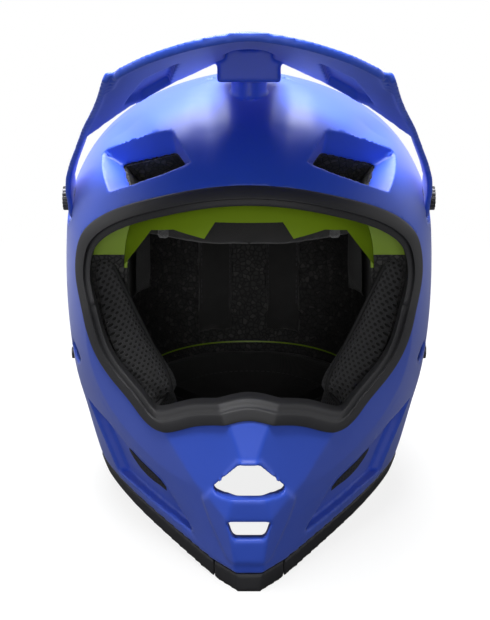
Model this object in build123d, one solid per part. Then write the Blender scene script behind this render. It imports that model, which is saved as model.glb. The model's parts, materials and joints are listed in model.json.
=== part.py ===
from build123d import *
import math
import os

os.makedirs("parts", exist_ok=True)

# A downhill full-face helmet that stands on its rim and faces -Y, in millimetres.
# Everything is drawn about the ear line, the crown axis being X = Y = 0 and the rest plane Z = 0.
# keep() then moves each piece so that the origin is the bottom middle of the helmet's box.

# Outer form of the shell
half_width = 119.5
nose_reach = 168.0
back_reach = 155.0
crown_height = 279.0
visor_reach = 188.0
dome_start = 150.0
brow_reach = 139.0
middle_y = (visor_reach - back_reach) / 2

# Each level: height, half width, front reach, back reach as shares of the four sizes above,
# then the powers that shape the outline across and along the nose half, and round the back half.
level_shares = [
    (-0.050, 0.736, 1.012, 0.671, 1.00, 1.45, 2.20),
    (0.036, 0.812, 1.054, 0.774, 1.00, 1.50, 2.20),
    (0.108, 0.870, 1.071, 0.845, 1.00, 1.50, 2.25),
    (0.215, 0.929, 1.071, 0.929, 1.10, 1.60, 2.30),
    (0.323, 0.979, 1.018, 0.974, 1.30, 1.80, 2.30),
    (0.466, 1.000, 0.911, 1.000, 1.70, 2.10, 2.30),
    (0.609, 0.996, 0.827, 0.994, 2.05, 2.20, 2.30),
    (0.717, 0.966, 0.768, 0.955, 2.20, 2.30, 2.30),
    (0.803, 0.887, 0.696, 0.884, 2.25, 2.30, 2.30),
    (0.871, 0.770, 0.595, 0.768, 2.25, 2.30, 2.30),
    (0.925, 0.611, 0.476, 0.613, 2.20, 2.20, 2.20),
    (0.964, 0.418, 0.327, 0.419, 2.10, 2.10, 2.10),
    (0.989, 0.226, 0.173, 0.226, 2.00, 2.00, 2.00),
    (0.998, 0.100, 0.077, 0.100, 2.00, 2.00, 2.00),
]
quarter_steps = 6

# Layers from the outside in
shell_wall = 4.0
clearance = 0.3
foam_wall = 24.0
chin_foam_wall = 15.0
slip_wall = 1.5
pad_wall = 8.0
overrun = 40.0
fit_gap = 0.05

# Face opening, drawn on the XZ plane
port_half_width = 105.0
port_bottom = 86.0
port_top = 226.0
trim_face = 9.5
trim_proud = 1.2
trim_depth = 14.0
port_depth = 62.0
port_shares = [
    (0.000, 1.000), (0.305, 0.979), (0.505, 0.943), (0.714, 0.886), (0.860, 0.818),
    (0.955, 0.735), (0.995, 0.640), (1.000, 0.550), (0.965, 0.430), (0.886, 0.240),
    (0.790, 0.150), (0.657, 0.066), (0.590, 0.018), (0.540, 0.000), (0.457, 0.008),
    (0.305, 0.064), (0.114, 0.107), (0.000, 0.121),
]

# Brow vents, each on its own slanted plane
brow_vent_place = Vector(62.0, -79.0, 236.0)
brow_vent_out = Vector(0.493, -0.537, 0.684)
brow_vent_along = Vector(0.737, 0.676, 0.0)
brow_vent_length = 82.0
brow_vent_height = 45.0
brow_vent_depth = 11.0
duct_wall = 3.0
brow_outer_shares = [(0.51, 0.05), (-0.12, 0.45), (-0.49, 0.05), (0.12, -0.55)]
brow_inner_shares = [(0.31, 0.00), (-0.12, 0.30), (-0.27, 0.15), (0.14, -0.28)]

# Chin vent at the nose, on the XZ plane
nose_half_width = 27.0
nose_bottom = 18.0
nose_top = 80.0
nose_frame_proud = 1.5
nose_frame_depth = 7.0
nose_frame_shares = [(0.26, 1.00), (1.00, 0.55), (0.85, 0.35), (0.48, 0.00)]
upper_hole_shares = [(0.22, 0.97), (0.76, 0.70), (0.74, 0.66), (0.62, 0.64)]
lower_hole_shares = [(0.48, 0.42), (0.33, 0.25)]

# Chin side scoops, drawn on the YZ plane
scoop_front = 137.0
scoop_back = 45.0
scoop_bottom = 22.0
scoop_top = 75.0
scoop_depth = 9.0
scoop_shares = [
    (0.00, 1.00), (0.33, 0.91), (0.52, 0.74), (0.67, 0.66), (0.84, 0.54), (0.88, 0.37), (1.00, 0.02),
    (0.66, 0.08), (0.40, 0.13), (0.13, 0.13), (0.09, 0.40), (0.02, 0.70),
]
scoop_hole_shares = [(0.50, 0.68), (0.82, 0.53), (0.86, 0.40), (0.76, 0.42), (0.60, 0.48), (0.55, 0.60)]

# Facets of the chin bar: each of the two planes runs through three of these points
crease_front = Vector(27.0, -155.0, 55.0)
crease_back = Vector(89.0, -87.0, 88.0)
port_corner = Vector(58.0, -127.0, 84.0)
nose_shoulder = Vector(12.0, -158.0, 101.0)
rim_point = Vector(10.0, -168.0, 11.0)
lean_bottom = Vector(0.0, -168.0, 79.0)
lean_top = Vector(0.0, -157.0, 103.0)
facet_size = 260.0

# Forehead valleys
valley_half_spacing = 27.0
valley_radius = 15.0
valley_depth = 1.8
valley_depth_shares = [0.25, 0.75, 1.00, 0.80, 0.10]

# Rim
rim_arch = 12.0
rim_band = 11.0
rim_flat_front = 150.0
rim_flat_back = 92.0
rim_inset = 11.0
nose_trim_half_width = 20.0
nape_trim_front = 20.0

# Rear vents, as shares of their width and height, and the ear vent
rear_vent_width = 50.0
rear_vent_height = 24.0
rear_vent_spacing = 33.0
rear_vent_heights = [192.0, 98.0]
rear_pocket_depth = 11.0
rear_vent_shares = [(-0.50, 0.16), (-0.34, -0.34), (0.30, -0.50), (0.50, -0.20), (0.36, 0.18), (-0.30, 0.50)]
ear_vent_length = 26.0
ear_vent_height = 13.0
ear_vent_y = -46.0
ear_vent_z = 107.0

# Visor pivots, side screws and their inserts
pivot_y = -38.0
pivot_z = 205.0
pivot_seat = 108.8
pivot_recess_diameter = 33.0
pivot_boss_diameter = 41.0
boss_depth = 8.3
visor_wall = 3.5
screw_thread = 5.0
screw_head_diameter = 15.0
screw_head_height = 3.4
screw_reach = 14.5
knurl_count = 16
knurl_depth = 0.8
insert_diameter = 9.0
insert_flange_diameter = 14.0
insert_flange_height = 1.6
insert_body_length = 7.0

# Visor tilt, in degrees, up and down from the worn position
tilt_up = 6.0
tilt_down = 10.0

# Visor blade: stations from the tip back, as shares of the reach, half width and edge drop
visor_tip_height = 319.0
visor_center_fall = 20.0
visor_fall_length = 128.0
visor_edge_drop = 66.0
visor_half_width = 105.0
visor_power = 1.55
visor_lip = 1.5
visor_lip_length = 5.0
station_shares = [
    (1.020, 0.590, 0.210), (0.851, 0.672, 0.282), (0.585, 0.819, 0.557), (0.452, 0.895, 0.742), (0.290, 0.990, 1.030),
]
span_shares = [-1.0, -0.8, -0.55, -0.28, 0.0, 0.28, 0.55, 0.8, 1.0]

# Visor outline from above, as shares of the blade half width and the reach
blade_plan_shares = [
    (0.000, 1.000), (0.270, 0.985), (0.500, 0.935), (0.690, 0.860), (0.900, 0.455), (0.735, 0.440), (0.580, 0.425),
    (0.440, 0.375), (0.330, 0.325), (0.190, 0.300),
]

# Visor side walls: a strip seen from the front, and its outline seen from the side
strip_shares = [
    (1.000, 0.590), (1.000, 0.640), (1.000, 0.680), (0.965, 0.720), (0.904, 0.764),
    (0.843, 0.806), (0.770, 0.846), (0.657, 0.925), (0.616, 0.955),
]
wall_shares = [
    (0.255, 0.618), (0.330, 0.708), (0.457, 0.777), (0.590, 0.831), (0.858, 0.912), (0.858, 0.930),
    (0.590, 0.863), (0.457, 0.815), (0.330, 0.768), (0.213, 0.712), (0.145, 0.668),
]
arm_disc_diameter = 25.0

# Visor tongue, an arc about the pivots, with its slot for the crown screw
tongue_radius = 80.3
tongue_half_width = 19.0
tongue_front = 30.0
tongue_back = 16.0
screw_y = -44.0

# Raised ducts of the visor, from above, as shares of the blade half width and the reach
duct_rise = 6.0
side_duct_shares = [(0.330, 0.720), (0.560, 0.690), (0.720, 0.500), (0.620, 0.400), (0.420, 0.360)]
center_duct_shares = [(0.110, 0.600), (0.170, 0.500), (0.170, 0.280), (-0.170, 0.280), (-0.170, 0.500), (-0.110, 0.600)]

# Crown post and crown screw
post_diameter = 22.0
post_root = 264.0
crown_head_diameter = 20.0
crown_head_height = 4.5
crown_screw_reach = 22.0

# Foam and slip liner
liner_split = 112.0
foam_edge = 6.0
slip_front_shares = [
    (0.000, 0.870), (0.190, 0.870), (0.250, 0.830), (0.430, 0.845), (0.560, 0.835), (0.680, 0.760), (0.860, 0.640),
]
slip_side_shares = [(-0.52, 0.60), (-0.25, 0.43), (0.10, 0.29), (0.45, 0.222)]
anchor_diameter = 12.0
anchor_height = 3.0
anchor_y = 20.0
anchor_x = 38.0
anchor_z = 150.0
snap_diameter = 12.0
snap_height = 5.0
snap_shares = [(0.30, 0.30), (0.72, 0.38), (0.72, 0.80)]

# Comfort pads
strip_pad_x = 25.0
strip_pad_width = 28.0
strip_pad_bottom = 72.0
side_pad_front = -35.0
side_pad_back = 72.0
side_pad_bottom = 116.0
side_pad_top = 190.0
brow_pad_half_width = 62.0
brow_pad_back = -45.0
brow_pad_bottom = 188.0
brow_pad_top = 226.0
pad_gap = 4.0

# Cheek pads, by stations along Y
cheek_front = -114.0
cheek_back = -16.0
cheek_bottom = 18.0
cheek_top = 108.0
cheek_inner_x = 44.0
cheek_section_shares = [(0.00, 0.00), (0.08, 0.50), (0.33, 1.00), (1.00, 1.00)]
cheek_station_shares = [(0.00, 0.22, 0.55), (0.25, 0.06, 0.85), (0.55, 0.00, 1.00), (0.82, 0.05, 0.92), (1.00, 0.20, 0.62)]

# Neck roll
roll_bottom = 15.0
roll_top = 56.0
roll_front = 24.0
roll_insets = [28.0, 44.0, 28.0]

# Chin strap and its rings
strap_width = 20.0
strap_wall = 1.8
strap_y = 2.0
strap_anchor_z = 92.0
strap_end_x = 12.0
strap_shares = [(1.00, 1.12), (1.00, 0.90), (0.80, 0.80), (0.42, 0.62), (0.14, 0.47)]
rivet_diameter = 5.0
rivet_head_diameter = 11.0
rivet_head_height = 1.8
ring_wire = 3.0
ring_reach = 19.0
ring_gap = 2.0
ring_spacing = 9.0
loop_radius = 3.6

form_store = {}
layer_store = {}


def keep(name, solid):
    """Moves a piece from the ear-line frame to the part's frame and writes it."""
    export_step(Pos(0, middle_y, 0) * solid, f"parts/{name}.step")


def level_sizes(row, inset):
    """Height, half width, front and back reach of a level, moved in by inset."""
    height, width, front, back = row[0] * crown_height, row[1] * half_width, row[2] * nose_reach, row[3] * back_reach
    if height > dome_start:
        height -= inset * (height - dome_start) / (crown_height - dome_start)
    width -= inset * min(1, width / half_width)
    front -= inset * min(1, front / brow_reach)
    back -= inset * min(1, back / back_reach)
    return height, width, front, back


def level_face(row, inset):
    """One level of the form: a closed curve round the nose and the back of the head."""
    height, width, front, back = level_sizes(row, inset)
    across, along, rear = row[4:]
    nose, tail = [], []
    for k in range(-quarter_steps, quarter_steps + 1):
        turn = math.pi / 2 * k / quarter_steps
        reach = abs(math.sin(turn)) ** (2 / across)
        nose.append((math.copysign(width * reach, turn), -front * math.cos(turn) ** (2 / along), height))
    for k in range(1, 2 * quarter_steps):
        turn = math.pi / 2 * k / quarter_steps
        reach = abs(math.cos(turn)) ** (2 / rear)
        tail.append((math.copysign(width * reach, math.cos(turn)), back * math.sin(turn) ** (2 / rear), height))
    middle = quarter_steps - 1
    points = [Vector(*p) for p in tail[middle:] + nose + tail[:middle]]
    places = [k / len(points) for k in range(len(points) + 1)]
    return Face(Wire([Edge.make_spline(points, parameters=places, periodic=True)]))


def plane_through(a, b, c):
    """A plane through three points whose normal points away from the ear line."""
    normal = (b - a).cross(c - a).normalized()
    if normal.dot(a) < 0:
        normal = normal * -1
    return Plane(origin=a, z_dir=normal)


def mirrored(solid):
    """The same solid on the other side of the middle plane."""
    return mirror(solid, Plane.YZ)


def both(solid):
    """A solid and its mirror image."""
    return solid + mirrored(solid)


def facet_block(plane, inset):
    """The block outside a facet plane that is moved in by inset."""
    return plane * Pos(0, 0, facet_size / 2 - inset) * Box(facet_size, facet_size, facet_size)


def form(inset):
    """The whole closed form of the helmet, moved in by inset, with its nose flat and chin facets."""
    if inset not in form_store:
        solid = loft([level_face(row, inset) for row in level_shares])
        nose_block = Pos(0, -nose_reach + inset - facet_size / 2, crown_height / 2)
        solid -= nose_block * Box(2 * facet_size, facet_size, 2 * crown_height)
        lean = plane_through(lean_bottom, lean_top, lean_top + Vector(facet_size, 0, 0))
        solid -= facet_block(lean, inset) & slab("Z", -crown_height, dome_start)
        for point, other in ((port_corner, nose_shoulder), (crease_back, rim_point)):
            block = facet_block(plane_through(crease_front, point, other), inset)
            block &= slab("Z", -crown_height, dome_start)
            solid -= block
            solid -= mirrored(block)
        form_store[inset] = solid
    return form_store[inset]


def closed_face(points):
    """A face inside a closed polygon."""
    return Face(Wire.make_polygon([Vector(*p) for p in points], close=True))


def curve_face(points):
    """A face inside a smooth closed curve."""
    return Face(Wire([Edge.make_spline([Vector(*p) for p in points], periodic=True)]))


def along_x(points, start, end):
    """A prism along X of a YZ polygon."""
    return extrude(closed_face([(start, y, z) for y, z in points]), end - start, dir=(1, 0, 0))


def along_y(points, start, end):
    """A prism along Y of an XZ polygon."""
    return extrude(closed_face([(x, start, z) for x, z in points]), end - start, dir=(0, 1, 0))


def both_sides(half):
    """A half outline from the middle plane out, made whole; points on the plane are kept once."""
    return half + [(-x, z) for x, z in reversed(half) if abs(x) > 0]


def port_prism(grow, back=-port_depth):
    """A prism of the face opening, its outline moved out by grow, from in front of the nose to back."""
    width, middle = port_half_width + grow, (port_top + port_bottom) / 2
    height = port_top - port_bottom + 2 * grow
    half = [(x * width, middle + (z - 1 / 2) * height) for x, z in port_shares]
    front = -nose_reach - overrun
    face = curve_face([(x, front, z) for x, z in both_sides(half)])
    return extrude(face, back - front, dir=(0, 1, 0))


def rim_block(lift):
    """Everything below the rim's side profile, raised by lift."""
    front, back, low = -nose_reach - overrun, back_reach + overrun, -crown_height / 2
    arch = ThreePointArc(
        (0, -rim_flat_front, lift), (0, (rim_flat_back - rim_flat_front) / 2, lift + rim_arch), (0, rim_flat_back, lift)
    )
    rest = Polyline((0, rim_flat_back, lift), (0, back, lift), (0, back, low), (0, front, low), (0, front, lift),
                    (0, -rim_flat_front, lift))
    face = make_face([arch, rest])
    return extrude(face, 2 * half_width, dir=(1, 0, 0), both=True)


def slab(axis, low, high):
    """A wide block between two places on one axis."""
    span = 4 * crown_height
    sizes = [span, span, span]
    sizes["XYZ".index(axis)] = high - low
    middle = [0, 0, 0]
    middle["XYZ".index(axis)] = (low + high) / 2
    return Pos(*middle) * Box(*sizes)


def layer(outer, inner):
    """The space between two forms."""
    if (outer, inner) not in layer_store:
        layer_store[outer, inner] = form(outer) - form(inner)
    return layer_store[outer, inner]


brow_plane = Plane(origin=brow_vent_place, x_dir=brow_vent_along, z_dir=brow_vent_out)


def brow_cone(grow, depth):
    """The tapering recess of the left brow vent, its walls moved out by grow."""
    def ring(shares, rise):
        points = [(u * brow_vent_length, v * brow_vent_height) for u, v in shares]
        face = offset(make_face(Polyline(*points, close=True)), amount=grow) if grow else make_face(
            Polyline(*points, close=True))
        return brow_plane * Pos(0, 0, rise) * face
    reach = (brow_vent_depth + overrun / 4) / brow_vent_depth
    wide = [
        (i[0] + (o[0] - i[0]) * reach, i[1] + (o[1] - i[1]) * reach)
        for o, i in zip(brow_outer_shares, brow_inner_shares)
    ]
    deep = -(depth - brow_vent_depth) / brow_vent_depth
    narrow = [
        (i[0] + (o[0] - i[0]) * deep, i[1] + (o[1] - i[1]) * deep)
        for o, i in zip(brow_outer_shares, brow_inner_shares)
    ]
    return loft([ring(wide, overrun / 4), ring(narrow, -depth)], ruled=True)


def brow_channel():
    """The straight way from the brow recess into the head space."""
    points = [(u * brow_vent_length, v * brow_vent_height) for u, v in brow_inner_shares]
    face = brow_plane * Pos(0, 0, -brow_vent_depth - foam_wall) * make_face(Polyline(*points, close=True))
    return extrude(face, foam_wall + brow_vent_depth, dir=brow_vent_out)


def nose_prism(shares, back, grow=0.0):
    """A prism along Y of an outline at the nose vent."""
    height = nose_top - nose_bottom
    half = [(x * nose_half_width, nose_bottom + z * height) for x, z in shares]
    front = -nose_reach - overrun
    face = closed_face([(x, front, z) for x, z in both_sides(half)])
    if grow:
        face = offset(face, amount=grow)
    return extrude(face, back - front, dir=(0, 1, 0))


def scoop_prism(shares, inner_x, grow=0.0):
    """A prism along X of an outline on the chin's left side."""
    length, height = scoop_front - scoop_back, scoop_top - scoop_bottom
    points = [(-scoop_back - u * length, scoop_bottom + v * height) for u, v in shares]
    face = closed_face([(inner_x, y, z) for y, z in points])
    if grow:
        face = offset(face, amount=grow)
    return extrude(face, half_width + overrun - inner_x, dir=(1, 0, 0))


def rod(axis_plane, diameter, length):
    """A plain round rod that starts on a plane and runs along its normal."""
    return axis_plane * extrude(Circle(diameter / 2), length)


def pivot_plane(x):
    """A plane across the left pivot axis whose normal points out."""
    return Plane(origin=(x, pivot_y, pivot_z), z_dir=(1, 0, 0))


def crown_plane(z):
    """A level plane on the crown screw's axis."""
    return Plane(origin=(0, screw_y, z), z_dir=(0, 0, 1))


post_top = pivot_z + math.sqrt(tongue_radius ** 2 - (pivot_y - screw_y + post_diameter / 2) ** 2) - clearance


def lens(plane, length, height, depth):
    """A lens-shaped prism centred on a plane, through depth on both sides."""
    top = ThreePointArc((-length / 2, 0), (0, height / 2), (length / 2, 0))
    low = ThreePointArc((length / 2, 0), (0, -height / 2), (-length / 2, 0))
    return extrude(plane * make_face([top, low]), depth, both=True)


def rear_vents(inner_y):
    """The left exhaust vents at the back, cut from behind to inner_y."""
    length = back_reach + overrun - inner_y
    cuts = None
    for height in rear_vent_heights:
        points = [(rear_vent_spacing + x * rear_vent_width, height + z * rear_vent_height) for x, z in rear_vent_shares]
        cut = along_y(points, inner_y, inner_y + length)
        cuts = cut if cuts is None else cuts + cut
    return cuts


def ear_vent(inner_x):
    """The left side vent behind the face opening."""
    length = half_width + overrun - inner_x
    place = Plane(origin=(inner_x + length / 2, ear_vent_y, ear_vent_z), x_dir=(0, 1, 0), z_dir=(1, 0, 0))
    return lens(place, ear_vent_length, ear_vent_height, length / 2)


def valley():
    """The rounded cutter that draws the left forehead valley."""
    stations = []
    for depth_share, row in zip(valley_depth_shares, level_shares[8:13]):
        height, width, front, _ = level_sizes(row, 0)
        y = -front * (1 - (valley_half_spacing / max(width, valley_half_spacing)) ** row[4]) ** (1 / row[5])
        stations.append((Vector(valley_half_spacing, y, height), depth_share))
    rings = []
    for k, (place, share) in enumerate(stations):
        low, high = stations[max(k - 1, 0)][0], stations[min(k + 1, len(stations) - 1)][0]
        run = (high - low).normalized()
        out = Vector(1, 0, 0).cross(run).normalized() * -1
        if out.Z < 0:
            out = out * -1
        middle = place + out * (valley_radius - share * valley_depth)
        rings.append(Plane(origin=middle, x_dir=(1, 0, 0), z_dir=run) * Circle(valley_radius))
    return loft(rings)


def make_outer_shell():
    """The painted shell with its ducts, vents, bosses and facets."""
    frame = nose_prism(nose_frame_shares, -nose_reach + overrun)
    scoop = scoop_prism(scoop_shares, crease_front.X)
    grown = scoop_prism(scoop_shares, crease_front.X, duct_wall)
    cone_wall = brow_cone(duct_wall, brow_vent_depth)
    boss = rod(pivot_plane(pivot_seat - boss_depth), pivot_boss_diameter, overrun)
    cavity = form(shell_wall)
    for lump in (grown - form(scoop_depth + duct_wall), cone_wall, boss):
        cavity -= lump
        cavity -= mirrored(lump)
    cavity -= frame - form(nose_frame_depth)
    shell = form(0)
    shell += frame & form(-nose_frame_proud)
    shell -= cavity
    shell += rod(crown_plane(post_root), post_diameter, post_top - post_root)
    pocket = scoop - form(scoop_depth)
    cuts = [
        pocket, scoop_prism(scoop_hole_shares, crease_front.X), brow_cone(0, brow_vent_depth), brow_channel(),
        valley(), rear_vents(overrun), ear_vent(overrun),
        rod(pivot_plane(overrun), insert_diameter + 2 * fit_gap, half_width),
        rod(pivot_plane(pivot_seat), pivot_recess_diameter, overrun),
        rod(rivet_plane(overrun), rivet_diameter + 2 * fit_gap, half_width),
    ]
    for cut in cuts:
        shell -= cut
        shell -= mirrored(cut)
    shell -= nose_prism(upper_hole_shares, -nose_reach + overrun)
    shell -= nose_prism(lower_hole_shares, -nose_reach + overrun)
    shell -= rod(crown_plane(post_root - overrun), insert_diameter + 2 * fit_gap, overrun * 2)
    shell -= port_prism(0)
    shell -= rim_block(rim_band + clearance)
    return shell


def visor_height(reach_share):
    """Height of the blade's top along the middle at a share of the reach."""
    return visor_tip_height - visor_center_fall * visor_reach * (1 - reach_share) / visor_fall_length


def blade_layer(top, bottom):
    """The blade's curved sheet between two lifts above its drawn surface."""
    faces = []
    for reach, width, drop in station_shares:
        def point(share, lift):
            fall = drop * visor_edge_drop * abs(share) ** visor_power
            return Vector(share * width * visor_half_width, -reach * visor_reach, visor_height(reach) - fall + lift)
        upper = Edge.make_spline([point(share, top) for share in span_shares])
        lower = Edge.make_spline([point(share, bottom) for share in reversed(span_shares)])
        ends = [Edge.make_line(upper @ 1, lower @ 0), Edge.make_line(lower @ 1, upper @ 0)]
        faces.append(Face(Wire([upper, ends[0], lower, ends[1]])))
    return loft(faces)


def plan_prism(points, grow=0.0):
    """A tall prism of an outline seen from above, given as shares of the blade half width and the reach."""
    face = closed_face([(x * visor_half_width, -y * visor_reach, 0) for x, y in points])
    if grow:
        face = offset(face, amount=grow)
    return extrude(face, 2 * crown_height, dir=(0, 0, 1))


def side_wall():
    """The visor's left side wall with the arm that reaches down to the pivot."""
    seat = pivot_seat + clearance
    inner = [Vector(x * seat, 0, z * visor_tip_height) for x, z in strip_shares]
    outer = []
    for k, point in enumerate(inner):
        run = inner[min(k + 1, len(inner) - 1)] - inner[max(k - 1, 0)]
        outer.append(point + Vector(run.Z, 0, -run.X).normalized() * visor_wall)
    first, second = Edge.make_spline(inner), Edge.make_spline(list(reversed(outer)))
    ends = [Edge.make_line(inner[-1], outer[-1]), Edge.make_line(outer[0], inner[0])]
    strip = extrude(Face(Wire([first, ends[0], second, ends[1]])), visor_reach + overrun, dir=(0, -1, 0))
    outline = along_x([(-y * visor_reach, z * visor_tip_height) for y, z in wall_shares], 0, 2 * half_width)
    disc = rod(pivot_plane(seat), arm_disc_diameter, visor_wall)
    facing = rod(pivot_plane(seat - visor_wall), pivot_recess_diameter, visor_wall)
    return ((strip & outline) - facing) + disc


def make_visor():
    """Blade, lip, ducts, side walls and slotted tongue of the visor in one moulding."""
    plan = blade_plan_shares + [(-x, y) for x, y in reversed(blade_plan_shares) if x > 0]
    blade = blade_layer(0, -visor_wall) & plan_prism(plan)
    band = plan_prism(plan) - plan_prism(plan, -visor_lip_length) & slab("Y", -visor_reach, -visor_reach * 3 / 4)
    blade += blade_layer(0, -visor_wall - visor_lip) & band
    hump = blade_layer(duct_rise, -visor_wall)
    hollow = blade_layer(duct_rise - visor_wall, -visor_wall - overrun)
    for outline in (side_duct_shares, [(-x, y) for x, y in side_duct_shares], center_duct_shares):
        blade += hump & plan_prism(outline)
        blade -= hollow & plan_prism(outline, -visor_wall)
    blade += both(side_wall())
    axle = Plane(origin=(-tongue_half_width, pivot_y, pivot_z), z_dir=(1, 0, 0))
    tongue = rod(axle, 2 * (tongue_radius + visor_wall), 2 * tongue_half_width)
    tongue &= slab("Y", pivot_y - tongue_front, pivot_y + tongue_back) & slab("Z", pivot_z, 2 * crown_height)
    tongue += blade_layer(0, -overrun) & slab("X", -tongue_half_width, tongue_half_width) & slab(
        "Y", pivot_y - tongue_front, pivot_y - tongue_front + visor_wall)
    visor = blade + (tongue - rod(axle, 2 * tongue_radius, 2 * tongue_half_width))
    reach = tongue_radius + visor_wall
    travel = [reach * math.sin(math.radians(angle)) + clearance for angle in (tilt_up, tilt_down)]
    hole = screw_thread / 2 + clearance
    visor -= Pos(0, 0, crown_height) * extrude(
        Pos(0, screw_y + (travel[1] - travel[0]) / 2) * SlotCenterToCenter(sum(travel), 2 * hole, rotation=90),
        overrun, both=True)
    bore = rod(pivot_plane(pivot_seat - overrun), screw_thread + 2 * fit_gap, 2 * overrun)
    return visor - bore - mirrored(bore)


def knurled_head(diameter, height):
    """A round screw head with grooves round its edge and a coin slot."""
    head = Circle(diameter / 2)
    groove = Circle(knurl_depth)
    for k in range(knurl_count):
        head -= Rot(0, 0, 360 / knurl_count * k) * Pos(diameter / 2, 0) * groove
    solid = extrude(head, height)
    return solid - Pos(0, 0, height) * Box(diameter * 2 / 3, knurl_depth * 2, height * 2 / 3)


def thumb_screw(plane, diameter, height, reach):
    """A thumb screw whose head sits on a plane and whose shank runs back through it."""
    return plane * (knurled_head(diameter, height) + Pos(0, 0, -reach) * extrude(Circle(screw_thread / 2), reach))


def insert(plane, length):
    """A threaded insert whose flange lies under a plane, with its body above it."""
    body = Pos(0, 0, -insert_flange_height) * extrude(Circle(insert_flange_diameter / 2), insert_flange_height)
    body += extrude(Circle(insert_diameter / 2), length)
    bore = extrude(Circle(screw_thread / 2 + fit_gap), length + insert_flange_height, both=True)
    return plane * (body - bore)


def make_face_trim():
    """The rubber trim round the face opening."""
    ring = port_prism(-fit_gap) - port_prism(-trim_face)
    front = form(-trim_proud)
    return ring & front - Pos(0, trim_depth, 0) * front


def make_rim_trims():
    """The rim trim, cut into its nose, two side and nape pieces."""
    ring = (layer(0, rim_inset) & rim_block(rim_band)) - rim_block(0)
    nose = ring & slab("X", -nose_trim_half_width, nose_trim_half_width) & slab("Y", -2 * nose_reach, -overrun)
    side = ring & slab("Y", -2 * nose_reach, nape_trim_front) & slab(
        "X", nose_trim_half_width + clearance, half_width + overrun)
    nape = ring & slab("Y", nape_trim_front + clearance, back_reach + overrun)
    return nose, side, nape


def make_foam():
    """The head foam and the chin foam, cleared of the shell's ducts and bosses."""
    outer = form(shell_wall + clearance)
    hollow = form(shell_wall + clearance + foam_wall) + (
        form(shell_wall + clearance + chin_foam_wall) & slab("Z", -crown_height, liner_split))
    foam = outer - hollow - port_prism(0)
    foam -= rim_block(rim_band + foam_edge)
    grown = scoop_prism(scoop_shares, crease_front.X, duct_wall + clearance)
    boss_top = pivot_seat - boss_depth - clearance
    flange = rod(pivot_plane(boss_top - 2 * insert_flange_height), insert_flange_diameter + 1, overrun)
    for cut in (
        grown - form(scoop_depth + duct_wall + clearance), brow_cone(duct_wall + clearance, brow_vent_depth + clearance),
        brow_channel(), rod(pivot_plane(boss_top), pivot_boss_diameter + 2 * clearance, overrun), flange,
        scoop_prism(scoop_hole_shares, crease_front.X), ear_vent(overrun),
        rear_vents(overrun) - form(shell_wall + clearance + rear_pocket_depth),
        rod(rivet_plane(overrun), rivet_diameter + 2 * clearance, half_width),
        make_snaps(clearance), make_anchors(clearance),
    ):
        foam -= cut
        foam -= mirrored(cut)
    foam -= nose_prism(nose_frame_shares, -nose_reach + overrun, clearance)
    foam -= rod(crown_plane(post_root - clearance), post_diameter + 2 * clearance, overrun)
    foam -= rod(crown_plane(post_root - 2 * insert_flange_height), insert_flange_diameter + 1, overrun)
    chin = slab("Y", -2 * nose_reach, -port_depth) & slab("Z", -crown_height, dome_start)
    gap = slab("Y", -2 * nose_reach, -port_depth + clearance) & slab("Z", -crown_height, dome_start)
    return foam - gap, foam & chin


def width_at(height):
    """Half width of the outer form at a height, between its drawn levels."""
    heights = [row[0] * crown_height for row in level_shares]
    k = max(i for i, level in enumerate(heights) if level <= height)
    part = (height - heights[k]) / (heights[k + 1] - heights[k])
    return half_width * (level_shares[k][1] + part * (level_shares[k + 1][1] - level_shares[k][1]))


def rivet_plane(x):
    """A plane across the strap rivet's axis whose normal points out."""
    return Plane(origin=(x, strap_y, strap_anchor_z), z_dir=(1, 0, 0))


def make_slip_liner():
    """The thin liner that lets the pads turn inside the head foam."""
    outer = shell_wall + foam_wall + 2 * clearance
    liner = layer(outer, outer + slip_wall)
    half = [(x * port_half_width, z * (port_top + foam_edge)) for x, z in slip_front_shares]
    last = half[-1]
    front = half + [(half_width, last[1]), (half_width, -overrun)]
    liner -= along_y(both_sides(front), -2 * nose_reach, -port_depth)
    sides = [(y * brow_reach, z * crown_height) for y, z in slip_side_shares]
    lowest = sides[-1][1]
    sides += [(2 * back_reach, lowest), (2 * back_reach, -lowest), (sides[0][0], -lowest)]
    liner -= along_x(sides, -2 * half_width, 2 * half_width)
    return liner - both(brow_channel())


def pad_layer():
    """The space of the comfort pads inside the slip liner."""
    outer = shell_wall + foam_wall + slip_wall + 3 * clearance
    return layer(outer, outer + pad_wall)


def make_comfort_pads():
    """The brow pad, the two crown strips and the left side pad."""
    space = pad_layer()
    brow = space & slab("Y", -2 * nose_reach, brow_pad_back) & slab("Z", brow_pad_bottom, brow_pad_top)
    brow &= slab("X", -brow_pad_half_width, brow_pad_half_width)
    strips = space & slab("Y", brow_pad_back + pad_gap, 2 * back_reach)
    strips &= slab("Z", strip_pad_bottom, crown_height)
    near, far = strip_pad_x - strip_pad_width / 2, strip_pad_x + strip_pad_width / 2
    strip = strips & slab("X", near, far)
    side = space & slab("Y", side_pad_front, side_pad_back) & slab("Z", side_pad_bottom, side_pad_top)
    side &= slab("X", far + pad_gap, half_width)
    return brow, strip, side


def make_cheek_pad():
    """The left cheek pad, crowned towards the cheek and backed by the foam."""
    faces = []
    for along, push, swell in cheek_station_shares:
        y = cheek_front + along * (cheek_back - cheek_front)
        inner = cheek_inner_x + push * (half_width - cheek_inner_x)
        middle = (cheek_top + cheek_bottom) / 2
        reach = swell * (cheek_top - cheek_bottom) / 2
        upper = [(inner + u * (half_width - inner), v * reach) for u, v in cheek_section_shares]
        points = upper + [(half_width + overrun, 0)] + [(x, -rise) for x, rise in reversed(upper) if rise > 0]
        faces.append(curve_face([(x, y, middle + rise) for x, rise in points]))
    pad = loft(faces) & form(shell_wall + chin_foam_wall + 2 * clearance)
    return pad & slab("Z", 0, liner_split - clearance)


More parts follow.
